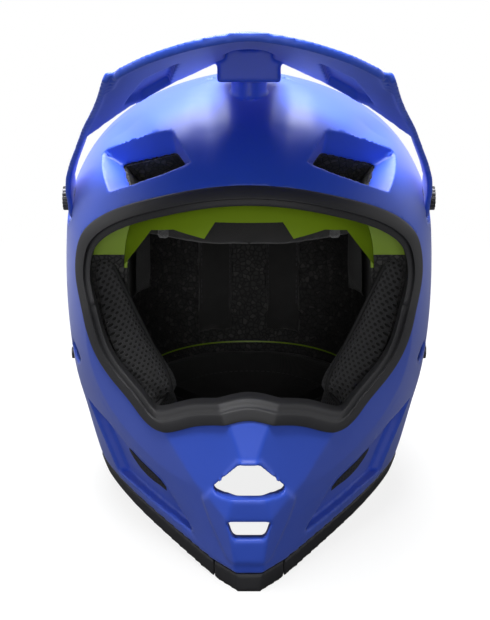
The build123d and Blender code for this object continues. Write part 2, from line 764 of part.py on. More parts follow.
def make_neck_roll():
    """The padded roll round the nape, crowned towards the neck."""
    rows = level_shares[1:4]
    hollow = loft([level_face(row, inset) for row, inset in zip(rows, roll_insets)])
    roll = form(shell_wall + chin_foam_wall + 2 * clearance) & slab("Z", roll_bottom, roll_top)
    return (roll - hollow) & slab("Y", roll_front, 2 * back_reach)


def ribbon(points, width, wall, y):
    """A flat strap of one wall through XZ points, its width along Y."""
    line = FilletPolyline(*[(x, z) for x, z in points], radius=[4 * wall] * (len(points) - 2))
    return Pos(0, y, 0) * extrude(Plane.XZ * trace(line, wall), width / 2, both=True)


def make_strap(side):
    """One chin strap from its rivet down towards the middle; side is 1 for left and -1 for right."""
    seat = strap_seat()
    points = [(x * seat, z * strap_anchor_z) for x, z in strap_shares]
    strap = ribbon(points, strap_width, strap_wall, strap_y)
    strap -= rod(rivet_plane(overrun), rivet_diameter + 2 * fit_gap, half_width)
    if side < 0:
        return mirrored(strap)
    for place in ring_places():
        axle = Plane(origin=(place.X, strap_y - strap_width / 2, place.Z), z_dir=(0, 1, 0))
        strap += rod(axle, 2 * loop_radius, strap_width)
    for place in ring_places():
        axle = Plane(origin=(place.X, strap_y - strap_width / 2, place.Z), z_dir=(0, 1, 0))
        strap -= rod(axle, ring_wire + 2 * fit_gap, strap_width)
    return strap


def strap_seat():
    """X of the strap's middle line where it lies against the foam."""
    return half_width - shell_wall - chin_foam_wall - 4 * clearance - 3 * strap_wall


def ring_places():
    """Where the two rings turn: at the strap's end and one ring spacing up the strap."""
    end, before = [Vector(x * strap_seat(), 0, z * strap_anchor_z) for x, z in reversed(strap_shares[-2:])]
    run = (before - end).normalized()
    drop = Vector(run.Z, 0, -run.X) * (strap_wall / 2 + loop_radius - clearance)
    return [end + drop, end + drop + run * ring_spacing]


def make_rivet():
    """The left strap rivet with its outer head and inner washer."""
    reach = width_at(strap_anchor_z + rivet_head_diameter) + clearance
    plane = rivet_plane(reach)
    inner = strap_seat() - strap_wall / 2 - clearance
    solid = rod(rivet_plane(inner), rivet_diameter, reach - inner)
    solid += plane * extrude(Circle(rivet_head_diameter / 2), rivet_head_height)
    return solid + rod(rivet_plane(inner - rivet_head_height), rivet_head_diameter, rivet_head_height)


def make_ring(place):
    """A D-shaped wire ring: a bar along Y at a place, and a bow that hangs below it."""
    half = strap_width / 2 + ring_gap
    bow = ThreePointArc((0, half, 0), (0, 0, -ring_reach), (0, -half, 0))
    section = Plane(origin=bow @ 0, z_dir=bow % 0) * Circle(ring_wire / 2)
    ring = sweep(section, path=bow)
    ring += rod(Plane(origin=(0, -half, 0), z_dir=(0, 1, 0)), ring_wire, 2 * half)
    ring += Pos(0, half, 0) * Sphere(ring_wire / 2) + Pos(0, -half, 0) * Sphere(ring_wire / 2)
    return Pos(place.X, strap_y, place.Z) * ring


def make_snaps(grow=0.0):
    """The three press studs that hold the left cheek pad to the foam, or their pockets."""
    back = shell_wall + chin_foam_wall + clearance
    studs = None
    for y_share, z_share in snap_shares:
        place = Plane(origin=(overrun, cheek_front + y_share * (cheek_back - cheek_front),
                              cheek_bottom + z_share * (cheek_top - cheek_bottom)), z_dir=(1, 0, 0))
        stud = rod(place, snap_diameter + 2 * grow, half_width)
        studs = stud if studs is None else studs + stud
    return studs & layer(back - snap_height - grow, back + grow)


def make_anchors(grow=0.0):
    """The left elastomer pucks that carry the slip liner in the head foam, or their pockets."""
    back = shell_wall + clearance + foam_wall
    side = rod(Plane(origin=(overrun, anchor_y, anchor_z), z_dir=(1, 0, 0)), anchor_diameter + 2 * grow, half_width)
    rear = rod(Plane(origin=(anchor_x, overrun, anchor_z), z_dir=(0, 1, 0)), anchor_diameter + 2 * grow, back_reach)
    return (side + rear) & layer(back - anchor_height - grow, back + grow)


solids = {}
solids["outer_shell"] = make_outer_shell()
solids["visor"] = make_visor()
screw_seat = pivot_seat + 2 * clearance + visor_wall
solids["visor_screw_left"] = thumb_screw(pivot_plane(screw_seat), screw_head_diameter, screw_head_height, screw_reach)
solids["visor_screw_right"] = mirrored(solids["visor_screw_left"])
crown_seat = pivot_z + tongue_radius + visor_wall + clearance
solids["crown_screw"] = thumb_screw(crown_plane(crown_seat), crown_head_diameter, crown_head_height, crown_screw_reach)
solids["pivot_insert_left"] = insert(pivot_plane(pivot_seat - boss_depth), insert_body_length)
solids["pivot_insert_right"] = mirrored(solids["pivot_insert_left"])
solids["crown_insert"] = insert(crown_plane(post_root), post_top - post_root - clearance)
solids["face_trim"] = make_face_trim()
solids["nose_trim"], solids["rim_trim_left"], solids["nape_trim"] = make_rim_trims()
solids["rim_trim_right"] = mirrored(solids["rim_trim_left"])
solids["head_foam"], solids["chin_foam"] = make_foam()

solids["slip_liner"] = make_slip_liner()
solids["brow_pad"], solids["crown_pad_left"], solids["side_pad_left"] = make_comfort_pads()
solids["crown_pad_right"] = mirrored(solids["crown_pad_left"])
solids["side_pad_right"] = mirrored(solids["side_pad_left"])
solids["cheek_pad_left"] = make_cheek_pad()
solids["cheek_pad_right"] = mirrored(solids["cheek_pad_left"])
solids["neck_roll"] = make_neck_roll()
solids["strap_left"] = make_strap(1)
solids["strap_right"] = make_strap(-1)
solids["strap_rivet_left"] = make_rivet()
solids["strap_rivet_right"] = mirrored(solids["strap_rivet_left"])
solids["cheek_snaps_left"] = make_snaps()
solids["cheek_snaps_right"] = mirrored(solids["cheek_snaps_left"])
solids["slip_anchors"] = both(make_anchors())
solids["ring_end"], solids["ring_back"] = [make_ring(place) for place in ring_places()]

for name, solid in solids.items():
    print(name, len(solid.solids()), solid.is_valid, round(solid.volume))
    keep(name, solid)
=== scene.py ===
"""Looks of a downhill full-face helmet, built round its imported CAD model."""

from __future__ import annotations

import json
import logging
import math
from collections.abc import Iterator
from contextlib import contextmanager
from dataclasses import dataclass, field
from enum import Enum

import bmesh
import bpy
import numpy as np
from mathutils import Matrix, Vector

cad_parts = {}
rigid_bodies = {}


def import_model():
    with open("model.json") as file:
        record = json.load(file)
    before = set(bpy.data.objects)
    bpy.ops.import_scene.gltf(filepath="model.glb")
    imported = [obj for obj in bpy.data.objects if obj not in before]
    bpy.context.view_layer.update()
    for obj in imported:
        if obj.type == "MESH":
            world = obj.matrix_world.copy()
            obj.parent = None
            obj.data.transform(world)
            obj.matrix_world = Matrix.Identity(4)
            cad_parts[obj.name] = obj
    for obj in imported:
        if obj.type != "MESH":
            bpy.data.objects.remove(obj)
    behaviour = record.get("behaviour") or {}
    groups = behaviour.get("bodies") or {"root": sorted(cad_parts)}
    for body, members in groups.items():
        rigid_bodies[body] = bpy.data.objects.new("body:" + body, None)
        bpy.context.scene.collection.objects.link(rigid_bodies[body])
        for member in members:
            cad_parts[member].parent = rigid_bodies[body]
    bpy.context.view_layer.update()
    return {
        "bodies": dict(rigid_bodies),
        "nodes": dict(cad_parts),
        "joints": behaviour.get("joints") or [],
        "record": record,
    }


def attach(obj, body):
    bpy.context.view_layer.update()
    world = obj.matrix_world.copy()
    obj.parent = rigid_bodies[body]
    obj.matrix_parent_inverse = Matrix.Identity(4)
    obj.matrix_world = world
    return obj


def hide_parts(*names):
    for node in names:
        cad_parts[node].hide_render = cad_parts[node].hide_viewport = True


log = logging.getLogger("helmet")
MM = 0.001
EAR_SHIFT = 16.5  # the ear line's place along Y in the part's frame, in millimetres
SIDES = {"left": 1, "right": -1}

Piece = bpy.types.Object
Mesh = bpy.types.Mesh
Material = bpy.types.Material
Socket = bpy.types.NodeSocket
Tree = bpy.types.NodeTree
Colour = tuple[float, float, float]
Ray = tuple[tuple[float, ...], tuple[float, ...]]


class Body(str, Enum):
    """The moving bodies that pieces ride on."""

    SHELL = "shell"
    VISOR = "visor"


class Texture(Enum):
    """The surface textures that a finish can carry."""

    GRAIN = "fine grain"
    BEADS = "foam beads"
    WEAVE = "plain weave"
    MESH = "oval mesh"


class Graph:
    """A thin helper that adds and links shader or geometry nodes in one tree."""

    def __init__(self, tree: Tree) -> None:
        """Keeps the tree that nodes are added to."""
        self.tree = tree

    def add(self, kind: str, settings: dict | None = None, **inputs: object) -> bpy.types.Node:
        """Adds a node, sets its properties and fills or links its inputs.

        Args:
            kind: The node's type name.
            settings: Properties to set on the node itself.
            inputs: Values or sockets by input name, spaces written as underscores.

        Returns:
            The new node.
        """
        node = self.tree.nodes.new(kind)
        for key, value in (settings or {}).items():
            setattr(node, key, value)
        for key, value in inputs.items():
            self.feed(node.inputs[key.replace("_", " ")], value)
        return node

    def feed(self, socket: Socket, value: object) -> None:
        """Links a socket to another one, or sets its value."""
        if isinstance(value, Socket):
            self.tree.links.new(value, socket)
        else:
            socket.default_value = value

    def math(self, operation: str, *values: object) -> Socket:
        """Adds a math node over up to three values and returns its output."""
        node = self.tree.nodes.new("ShaderNodeMath")
        node.operation = operation
        for socket, value in zip(node.inputs, values):
            self.feed(socket, value)
        return node.outputs[0]

    def plus(self, first: object, second: object) -> Socket:
        """Adds two values."""
        return self.math("ADD", first, second)

    def times(self, first: object, second: object) -> Socket:
        """Multiplies two values."""
        return self.math("MULTIPLY", first, second)

    def over(self, first: object, second: object) -> Socket:
        """Divides one value by another."""
        return self.math("DIVIDE", first, second)

    def ramp(self, value: object, low: float, high: float) -> Socket:
        """Maps a value from low..high to 0..1 with clamping and returns the result."""
        node = self.tree.nodes.new("ShaderNodeMapRange")
        for socket, given in zip(node.inputs, (value, low, high)):
            self.feed(socket, given)
        return node.outputs[0]

    def noise(self, place: Socket, scale: object, detail: float = 2.0) -> Socket:
        """Adds a noise over a place and returns its value."""
        return self.add("ShaderNodeTexNoise", Vector=place, Scale=scale, Detail=detail).outputs["Fac"]

    def mix(self, share: Socket, first: Colour | Socket, second: Colour | Socket) -> Socket:
        """Mixes two colours, each given as numbers or as a socket.

        Args:
            share: How much of the second colour shows.
            first: The first colour.
            second: The second colour.

        Returns:
            The mixed colour.
        """
        node = self.add("ShaderNodeMix", {"data_type": "RGBA"})
        self.feed(node.inputs[0], share)
        for index, colour in ((6, first), (7, second)):
            self.feed(node.inputs[index], colour if isinstance(colour, Socket) else (*colour, 1.0))
        return node.outputs[2]


def shader_group(name: str, knob: str, default: float, *outputs: str) -> tuple[Graph, dict, dict]:
    """Starts a shared shader node group with a Vector input and one named value.

    Args:
        name: The group's name.
        knob: The value input's name.
        default: The value input's default.
        outputs: Names of the value outputs.

    Returns:
        The graph, the group's input sockets by name and its output sockets by name.
    """
    tree = bpy.data.node_groups.new(name, "ShaderNodeTree")
    tree.interface.new_socket("Vector", in_out="INPUT", socket_type="NodeSocketVector")
    tree.interface.new_socket(knob, in_out="INPUT", socket_type="NodeSocketFloat").default_value = default
    for label in outputs:
        tree.interface.new_socket(label, in_out="OUTPUT", socket_type="NodeSocketFloat")
    start, end = tree.nodes.new("NodeGroupInput"), tree.nodes.new("NodeGroupOutput")
    return Graph(tree), {k: start.outputs[k] for k in ("Vector", knob)}, {k: end.inputs[k] for k in outputs}


class SharedGroups:
    """The shader groups that several finishes use, each built once."""

    def __init__(self) -> None:
        """Builds every group."""
        self.trees = {
            Texture.GRAIN: self.fine_grain(),
            Texture.BEADS: self.foam_beads(),
            Texture.WEAVE: self.plain_weave(),
            Texture.MESH: self.oval_mesh(),
        }
        self.wear_and_highlight = self.edge_wear_and_highlight()

    def fine_grain(self) -> Tree:
        """Moulding grain: a fine noise over a slow one, as shade and height."""
        graph, given, out = shader_group("Fine grain", "Pitch", 0.0006, "Shade", "Height")
        scale = graph.over(1.0, given["Pitch"])
        fine = graph.noise(given["Vector"], scale, 3.0)
        slow = graph.noise(given["Vector"], graph.times(scale, 0.012))
        graph.feed(out["Height"], fine)
        graph.feed(out["Shade"], graph.plus(graph.times(fine, 0.35), graph.times(slow, 0.65)))
        return graph.tree

    def foam_beads(self) -> Tree:
        """Fused foam beads: rounded cells with dark seams and a few pale ones."""
        graph, given, out = shader_group("Foam beads", "Pitch", 0.0035, "Shade", "Height")
        where = {"Vector": given["Vector"], "Scale": graph.over(1.0, given["Pitch"])}
        cells = graph.add("ShaderNodeTexVoronoi", {"feature": "DISTANCE_TO_EDGE"}, **where)
        tint = graph.add("ShaderNodeTexVoronoi", **where)
        split = graph.add("ShaderNodeSeparateColor", Color=tint.outputs["Color"])
        seam = graph.ramp(cells.outputs["Distance"], 0.0, 0.16)
        pale = graph.ramp(split.outputs[0], 0.72, 1.0)
        graph.feed(out["Height"], seam)
        graph.feed(out["Shade"], graph.times(seam, graph.plus(0.45, graph.times(pale, 0.9))))
        return graph.tree

    def plain_weave(self) -> Tree:
        """Crossing threads with a slow slub, as shade and height."""
        graph, given, out = shader_group("Plain weave", "Pitch", 0.0011, "Shade", "Height")
        axes = graph.add("ShaderNodeSeparateXYZ", Vector=given["Vector"])
        turn = graph.over(2 * math.pi, given["Pitch"])
        warp = graph.math("SINE", graph.times(graph.plus(axes.outputs["X"], axes.outputs["Y"]), turn))
        weft = graph.math("SINE", graph.times(axes.outputs["Z"], turn))
        threads = graph.times(graph.plus(graph.times(warp, weft), 1.0), 0.5)
        slub = graph.noise(given["Vector"], graph.over(0.12, given["Pitch"]))
        graph.feed(out["Height"], threads)
        graph.feed(out["Shade"], graph.plus(graph.times(threads, 0.55), graph.times(slub, 0.45)))
        return graph.tree

    def oval_mesh(self) -> Tree:
        """Open spacer mesh: staggered slanting rows of oval holes, on the front and on the inner side; the holes
        take the dark tone, the black backing plus painted shade in their depth.
        """
        graph, given, out = shader_group("Oval mesh", "Pitch", 0.0036, "Shade", "Height")
        axes = graph.add("ShaderNodeSeparateXYZ", Vector=given["Vector"])
        side = graph.math("ABSOLUTE", axes.outputs["X"])
        slant = graph.math("SUBTRACT", side, axes.outputs["Y"])
        lean = graph.times(graph.plus(side, axes.outputs["Y"]), 0.45)
        row = graph.over(graph.plus(axes.outputs["Z"], lean), graph.times(given["Pitch"], 0.85))
        stagger = graph.times(graph.math("MODULO", graph.math("FLOOR", row), 2.0), 0.5)
        column = graph.plus(graph.over(slant, given["Pitch"]), stagger)
        u, v = (graph.math("SUBTRACT", graph.math("FRACT", count), 0.5) for count in (column, row))
        wide = graph.math("POWER", graph.over(u, 0.31), 2.0)
        tall = graph.math("POWER", graph.over(v, 0.37), 2.0)
        rim = graph.ramp(graph.plus(wide, tall), 0.65, 1.25)
        graph.feed(out["Height"], rim)
        graph.feed(out["Shade"], rim)
        return graph.tree

    def edge_wear_and_highlight(self) -> Tree:
        """A mask of convex edges, broken up by noise: worn edges on the metal, lighter edges on the rubber and a
        painted highlight along the blue paint's edges.
        """
        graph, given, out = shader_group("Edge wear", "Amount", 0.5, "Mask")
        convex = graph.ramp(graph.add("ShaderNodeNewGeometry").outputs["Pointiness"], 0.51, 0.6)
        patches = graph.ramp(graph.noise(given["Vector"], 90.0, 4.0), 0.3, 0.7)
        graph.feed(out["Mask"], graph.times(graph.times(convex, patches), given["Amount"]))
        return graph.tree


@dataclass(frozen=True)
class Finish:
    """One material: its two tones, its shine, the texture it carries and the slot that its pieces name."""

    name: str
    tone: Colour
    shade: Colour
    roughness: float = 0.5
    metallic: float = 0.0
    texture: Texture = Texture.GRAIN
    pitch: float = 0.0006
    relief: float = 0.00005
    # Edge tone on convex edges: wear on the metal, a painted highlight on the blue paint.
    wear_and_highlight: float = 0.0
    edge_tone_worn_and_lit: Colour = (0.5, 0.5, 0.5)
    sheen: float = 0.0
    slot: str = ""

    def material(self, groups: SharedGroups) -> Material:
        """Builds the node material.

        Args:
            groups: The shared shader groups.

        Returns:
            The new material.
        """
        made = bpy.data.materials.new(self.name)
        made.use_nodes = True
        made.node_tree.nodes.clear()
        graph = Graph(made.node_tree)
        place = graph.add("ShaderNodeTexCoord").outputs["Object"]
        texture = graph.add(
            "ShaderNodeGroup", {"node_tree": groups.trees[self.texture]}, Vector=place, Pitch=self.pitch,
        )
        final = graph.mix(texture.outputs["Shade"], self.shade, self.tone)
        # Convex edges turn to the edge tone, which on the blue paint is a painted highlight.
        if self.wear_and_highlight:
            edges = graph.add("ShaderNodeGroup", {"node_tree": groups.wear_and_highlight}, Vector=place, Amount=self.wear_and_highlight)
            final = graph.mix(edges.outputs["Mask"], final, self.edge_tone_worn_and_lit)
        rough = graph.plus(self.roughness - 0.05, graph.times(texture.outputs["Shade"], 0.1))
        height = texture.outputs["Height"]
        bump = graph.add("ShaderNodeBump", Height=height, Distance=self.relief, Strength=1.0)
        shader = graph.add(
            "ShaderNodeBsdfPrincipled", Base_Color=final, Roughness=rough, Metallic=self.metallic,
            Normal=bump.outputs["Normal"], Sheen_Weight=self.sheen,
        )
        graph.add("ShaderNodeOutputMaterial", Surface=shader.outputs["BSDF"])
        return made


# The paint's lighter blue edge tone is a painted highlight along convex edges.
PAINT = Finish(
    "Matte blue paint", (0.026, 0.098, 0.68), (0.020, 0.080, 0.60), 0.44, relief=0.00001, wear_and_highlight=0.12,
    edge_tone_worn_and_lit=(0.12, 0.22, 0.85), sheen=0.2, slot="blue_paint",
)
TRIM = Finish(
    "Black trim rubber", (0.028, 0.028, 0.031), (0.016, 0.016, 0.018), 0.55, relief=0.00003, wear_and_highlight=0.15,
    edge_tone_worn_and_lit=(0.09, 0.09, 0.1), slot="black_rubber",
)
FOAM = Finish(
    "Black bead foam", (0.085, 0.083, 0.08), (0.014, 0.014, 0.015), 0.7, texture=Texture.BEADS, pitch=0.0034,
    relief=0.0003,
)
LIME = Finish(
    "Lime liner", (0.36, 0.56, 0.02), (0.28, 0.45, 0.015), 0.4, relief=0.00002, slot="lime_plastic",
)
PUCK = Finish("Lime elastomer", (0.30, 0.50, 0.02), (0.22, 0.38, 0.015), 0.6)
KNIT = Finish(
    "Black pad knit", (0.055, 0.053, 0.053), (0.016, 0.016, 0.016), 0.85, texture=Texture.WEAVE, pitch=0.0012,
    relief=0.0002, sheen=0.25, slot="black_fabric",
)
# Its near-black shade tone fills the oval holes: the black backing, darkened further as painted shade in them.
OPEN_MESH = Finish(
    "Black spacer mesh", (0.055, 0.055, 0.058), (0.004, 0.004, 0.004), 0.7, texture=Texture.MESH,
    pitch=0.0036, relief=0.0006, sheen=0.2, slot="black_mesh",
)
BINDING = Finish(
    "Black edge binding", (0.035, 0.035, 0.037), (0.015, 0.015, 0.016), 0.75, texture=Texture.WEAVE,
    pitch=0.0007, relief=0.0001, slot="black_fabric",
)
WEBBING = Finish(
    "Black webbing", (0.035, 0.035, 0.037), (0.010, 0.010, 0.011), 0.65, texture=Texture.WEAVE, pitch=0.0014,
    relief=0.0002, slot="black_webbing",
)
ANODISED = Finish(
    "Black anodised metal", (0.045, 0.045, 0.05), (0.03, 0.03, 0.034), 0.35, metallic=0.9, relief=0.00001,
    wear_and_highlight=0.5, edge_tone_worn_and_lit=(0.3, 0.3, 0.32),
)
STEEL = Finish("Bright steel", (0.62, 0.62, 0.64), (0.5, 0.5, 0.52), 0.22, metallic=1.0, relief=0.00001)
BRASS = Finish("Brass insert", (0.62, 0.46, 0.18), (0.5, 0.36, 0.13), 0.35, metallic=1.0, relief=0.00001)
NYLON = Finish("Black nylon", (0.03, 0.03, 0.032), (0.02, 0.02, 0.022), 0.45)
FLEECE = Finish(
    "Grey fleece", (0.17, 0.17, 0.175), (0.06, 0.06, 0.063), 0.95, texture=Texture.WEAVE, pitch=0.0013,
    relief=0.0004, sheen=0.6, slot="black_fabric",
)
# A near-black mesh sheet laid in the side scoops: painted shade for their deep holes, carrying a mesh texture.
SCOOP_SHADE_SCREEN = Finish(
    "Black shade screen", (0.02, 0.02, 0.021), (0.002, 0.002, 0.002), 0.7, texture=Texture.MESH, pitch=0.0026,
    relief=0.0004, slot="black_mesh",
)
THREAD = Finish(
    "Grey thread", (0.11, 0.11, 0.115), (0.06, 0.06, 0.065), 0.8, pitch=0.0004, slot="black_fabric",
)


def place(piece: Piece, slot: str, *nodes: str, body: Body = Body.SHELL) -> None:
    """Rides a piece on its body and hides the nodes it stands for."""
    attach(piece, body.value)
    if nodes:
        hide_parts(*nodes)
    log.info("%s: %d vertices", piece.name, len(piece.data.vertices))


class Wardrobe:
    """Makes each finish's material once and hands it out."""

    def __init__(self) -> None:
        """Builds the shared groups."""
        self.groups = SharedGroups()
        self.made: dict[str, Material] = {}

    def get(self, finish: Finish) -> Material:
        """Returns the material of a finish."""
        if finish.name not in self.made:
            self.made[finish.name] = finish.material(self.groups)
        return self.made[finish.name]

    def dress(self, piece: Piece, finish: Finish, smooth_angle: float = 180.0) -> None:
        """Gives a piece one finish and smooth shading, with edges sharper than the angle kept sharp."""
        piece.data.materials.clear()
        piece.data.materials.append(self.get(finish))
        piece.data.shade_smooth()
        if smooth_angle < 180:
            piece.data.set_sharp_from_angle(angle=math.radians(smooth_angle))

    def fit(
        self, piece: Piece, finish: Finish, *nodes: str, body: Body = Body.SHELL, smooth_angle: float = 180.0,
    ) -> None:
        """Dresses a piece in one finish and places it.

        Args:
            piece: The piece, with its last mesh.
            finish: Its finish, which also names its slot.
            nodes: The CAD nodes that it stands for.
            body: The body that it rides on.
            smooth_angle: Edges sharper than this angle in degrees stay sharp.
        """
        self.dress(piece, finish, smooth_angle)
        place(piece, finish.slot, *nodes, body=body)

    def dress_node(self, frame: dict, name: str, finish: Finish) -> None:
        """Gives a CAD node a finish through its object's material slots."""
        for spot in frame["nodes"][name].material_slots:
            spot.link = "OBJECT"
            spot.material = self.get(finish)


def hermite(
    t: float, start: np.ndarray, leaving: np.ndarray, end: np.ndarray, reaching: np.ndarray,
) -> np.ndarray:
    """A point of the cubic between two knots.

    Args:
        t: The share of the way, from 0 to 1.
        start: The first knot.
        leaving: The slope at the first knot.
        end: The second knot.
        reaching: The slope at the second knot.

    Returns:
        The point.
    """
    return ((2 * t**3 - 3 * t**2 + 1) * start + (t**3 - 2 * t**2 + t) * leaving
            + (3 * t**2 - 2 * t**3) * end + (t**3 - t**2) * reaching)


@dataclass(frozen=True)
class Valley:
    """One soft valley in the forehead, mirrored on the other side, in ear-line millimetres."""

    across: float
    lean: float
    lean_from: float
    width: float
    back: float
    front: float
    front_run: float
    depth: float
    back_run: float = 22.0

    def sink(self, x: np.ndarray, y: np.ndarray) -> np.ndarray:
        """The valley's depth at places across and along."""
        fade = np.clip((-y - self.back) / self.back_run, 0, 1)
        fade = fade * np.clip((self.front + y) / self.front_run, 0, 1)
        off = x - self.across + self.lean * (-y - self.lean_from)
        return self.depth * np.exp(-((off / self.width) ** 2)) * fade


@dataclass
class HeadForm:
    """The helmet's outer form about the ear line, in millimetres.

    A level is a height, a half width, the reach to the front and to the back, and the outline's powers
    across the front, along the front and round the back. A facet is a plane's direction and its level.
    """

    levels: tuple[tuple[float, ...], ...] = (
        (-14, 88, 170, 104, 1.0, 1.45, 2.2), (10, 97, 177, 120, 1.0, 1.5, 2.2),
        (30, 104, 180, 131, 1.0, 1.5, 2.25), (60, 111, 180, 144, 1.1, 1.6, 2.3),
        (90, 117, 171, 151, 1.3, 1.8, 2.3), (130, 119.5, 153, 155, 1.7, 2.1, 2.3),
        (170, 119, 139, 154, 2.05, 2.2, 2.3), (200, 115.5, 129, 148, 2.2, 2.3, 2.3),
        (224, 106, 117, 137, 2.25, 2.3, 2.3), (243, 92, 100, 119, 2.25, 2.3, 2.3),
        (258, 73, 80, 95, 2.2, 2.2, 2.2), (269, 50, 55, 65, 2.1, 2.1, 2.1),
        (276, 27, 29, 35, 2, 2, 2), (278.4, 12, 13, 15.5, 2, 2, 2),
    )
    facets: tuple[tuple[float, ...], ...] = ((0.606, -0.787, 0.112, 144.5), (0.7595, -0.6421, -0.1037, 114.3))
    nose_facet: tuple[float, ...] = (0.0, -0.909, 0.4166, 185.6)
    facet_top: float = 150.0
    nose_end: float = -168.0
    far_front: float = -200.0
    valleys: tuple[Valley, ...] = (
        Valley(across=26, lean=0.05, lean_from=30, width=8.5, back=18, front=112, front_run=30, depth=3.4),
        Valley(across=75, lean=0.30, lean_from=50, width=9.0, back=20, front=90, front_run=25, depth=3.0),
    )
    samples: int = 60
    probe: float = 0.4
    table: np.ndarray = field(init=False)

    def __post_init__(self) -> None:
        """Samples the levels densely with a cubic through them."""
        rows = np.array(self.levels, float)
        slopes = np.gradient(rows, axis=0)
        fine = [
            hermite(t, rows[k], slopes[k], rows[k + 1], slopes[k + 1])
            for k in range(len(rows) - 1) for t in np.linspace(0, 1, self.samples, endpoint=False)
        ]
        self.table = np.array([*fine, rows[-1]])

    def value(self, p: np.ndarray) -> np.ndarray:
        """Value of the form's outline function, 1 on the surface."""
        z = np.clip(p[:, 2], self.table[0, 0], self.table[-1, 0])
        w, f, b, m, n, q = (np.interp(z, self.table[:, 0], self.table[:, k]) for k in range(1, 7))
        x, y = np.abs(p[:, 0]), p[:, 1]
        front = (x / w) ** m + (np.maximum(-y, 0) / f) ** n
        back = (x / w) ** q + (np.maximum(y, 0) / b) ** q
        return np.where(y < 0, front, back)

    def distance(self, p: np.ndarray) -> tuple[np.ndarray, np.ndarray]:
        """Signed distance to the form, inside negative, and its outward direction.

        Args:
            p: Points in ear-line millimetres.

        Returns:
            The distances and the unit directions.
        """
        here = self.value(p)
        slope = np.zeros_like(p)
        for axis in range(3):
            step = np.zeros(3)
            step[axis] = self.probe
            slope[:, axis] = (self.value(p + step) - self.value(p - step)) / (2 * self.probe)
        size = np.maximum(np.linalg.norm(slope, axis=1), 1e-6)
        return (here - 1) / size, slope / size[:, None]

    def front_y(self, x: np.ndarray, z: np.ndarray) -> np.ndarray:
        """Place along Y of the shell's front skin, with the chin's facets.

        Args:
            x: Places across, in ear-line millimetres.
            z: Heights, in millimetres.

        Returns:
            The Y of the front skin at each place.
        """
        near, far = np.full(len(x), self.far_front), np.zeros(len(x))
        for _ in range(30):
            middle = (near + far) / 2
            inside = self.value(np.column_stack([x, middle, z])) < 1
            far, near = np.where(inside, middle, far), np.where(inside, near, middle)
        cuts = [far]
        for a, b, c, level in (*self.facets, self.nose_facet):
            cuts.append(np.where(z < self.facet_top, (level - a * np.abs(x) - c * z) / b, self.far_front))
        return np.maximum.reduce([*cuts, np.full(len(x), self.nose_end)])

    def sunk(self, p: np.ndarray) -> np.ndarray:
        """Depth of the forehead's soft valleys at each point."""
        return sum(valley.sink(np.abs(p[:, 0]), p[:, 1]) for valley in self.valleys)

    def in_ear_frame(self, metres: np.ndarray) -> np.ndarray:
        """Points of the part's frame in metres as ear-line millimetres."""
        moved = metres / MM
        moved[:, 1] -= EAR_SHIFT
        return moved

    def in_part_frame(self, points: np.ndarray) -> np.ndarray:
        """Ear-line millimetres as points of the part's frame in metres."""
        moved = points.copy()
        moved[:, 1] += EAR_SHIFT
        return moved * MM


def coordinates(mesh: Mesh) -> np.ndarray:
    """A mesh's vertex places as an array of rows."""
    flat = np.empty(len(mesh.vertices) * 3)
    mesh.vertices.foreach_get("co", flat)
    return flat.reshape(-1, 3)


def directions(mesh: Mesh) -> np.ndarray:
    """A mesh's vertex normals as an array of rows."""
    flat = np.empty(len(mesh.vertices) * 3)
    mesh.vertex_normals.foreach_get("vector", flat)
    return flat.reshape(-1, 3)


def set_coordinates(mesh: Mesh, places: np.ndarray) -> None:
    """Writes vertex places back to a mesh."""
    mesh.vertices.foreach_set("co", places.ravel())
    mesh.update()


@contextmanager
def opened(mesh: Mesh) -> Iterator[bmesh.types.BMesh]:
    """Opens a mesh for editing and writes it back at the end."""
    work = bmesh.new()
    work.from_mesh(mesh)
    yield work
    work.to_mesh(mesh)
    work.free()


def grid_faces(rows: int, columns: int, rows_close: bool, columns_close: bool) -> list[tuple[int, ...]]:
    """The four-sided faces of a grid of points numbered row by row.

    Args:
        rows: How many rows the grid has.
        columns: How many points a row has.
        rows_close: Whether the last row joins the first.
        columns_close: Whether the last column joins the first.

    Returns:
        The faces as tuples of point numbers.
    """
    down, across = rows if rows_close else rows - 1, columns if columns_close else columns - 1
    return [
        (r * columns + c, r * columns + (c + 1) % columns,
         (r + 1) % rows * columns + (c + 1) % columns, (r + 1) % rows * columns + c)
        for r in range(down) for c in range(across)
    ]


def closed_mesh(name: str, places: list, faces: list[tuple[int, ...]]) -> Mesh:
    """A closed mesh with its faces turned outwards."""
    mesh = bpy.data.meshes.new(name)
    mesh.from_pydata(places, [], faces)
    with opened(mesh) as work:
        bmesh.ops.recalc_face_normals(work, faces=work.faces)
    return mesh


def new_piece(name: str, data: bpy.types.ID) -> Piece:
    """Links a new object that holds a mesh, a curve, a lamp or a camera."""
    piece = bpy.data.objects.new(name, data)
    bpy.context.scene.collection.objects.link(piece)
    return piece


def evaluated(piece: Piece) -> Mesh:
    """A piece's shape with its modifiers, as a plain mesh."""
    return bpy.data.meshes.new_from_object(piece.evaluated_get(bpy.context.evaluated_depsgraph_get()))


def baked(piece: Piece) -> Piece:
    """Replaces a piece's mesh with its evaluated one and drops its modifiers."""
    done = evaluated(piece)
    piece.modifiers.clear()
    piece.data = done
    return piece


def meshed(curve: Piece) -> Piece:
    """Replaces a curve with a plain mesh piece of the same name."""
    name, mesh = curve.name, evaluated(curve)
    bpy.data.objects.remove(curve)
    return new_piece(name, mesh)


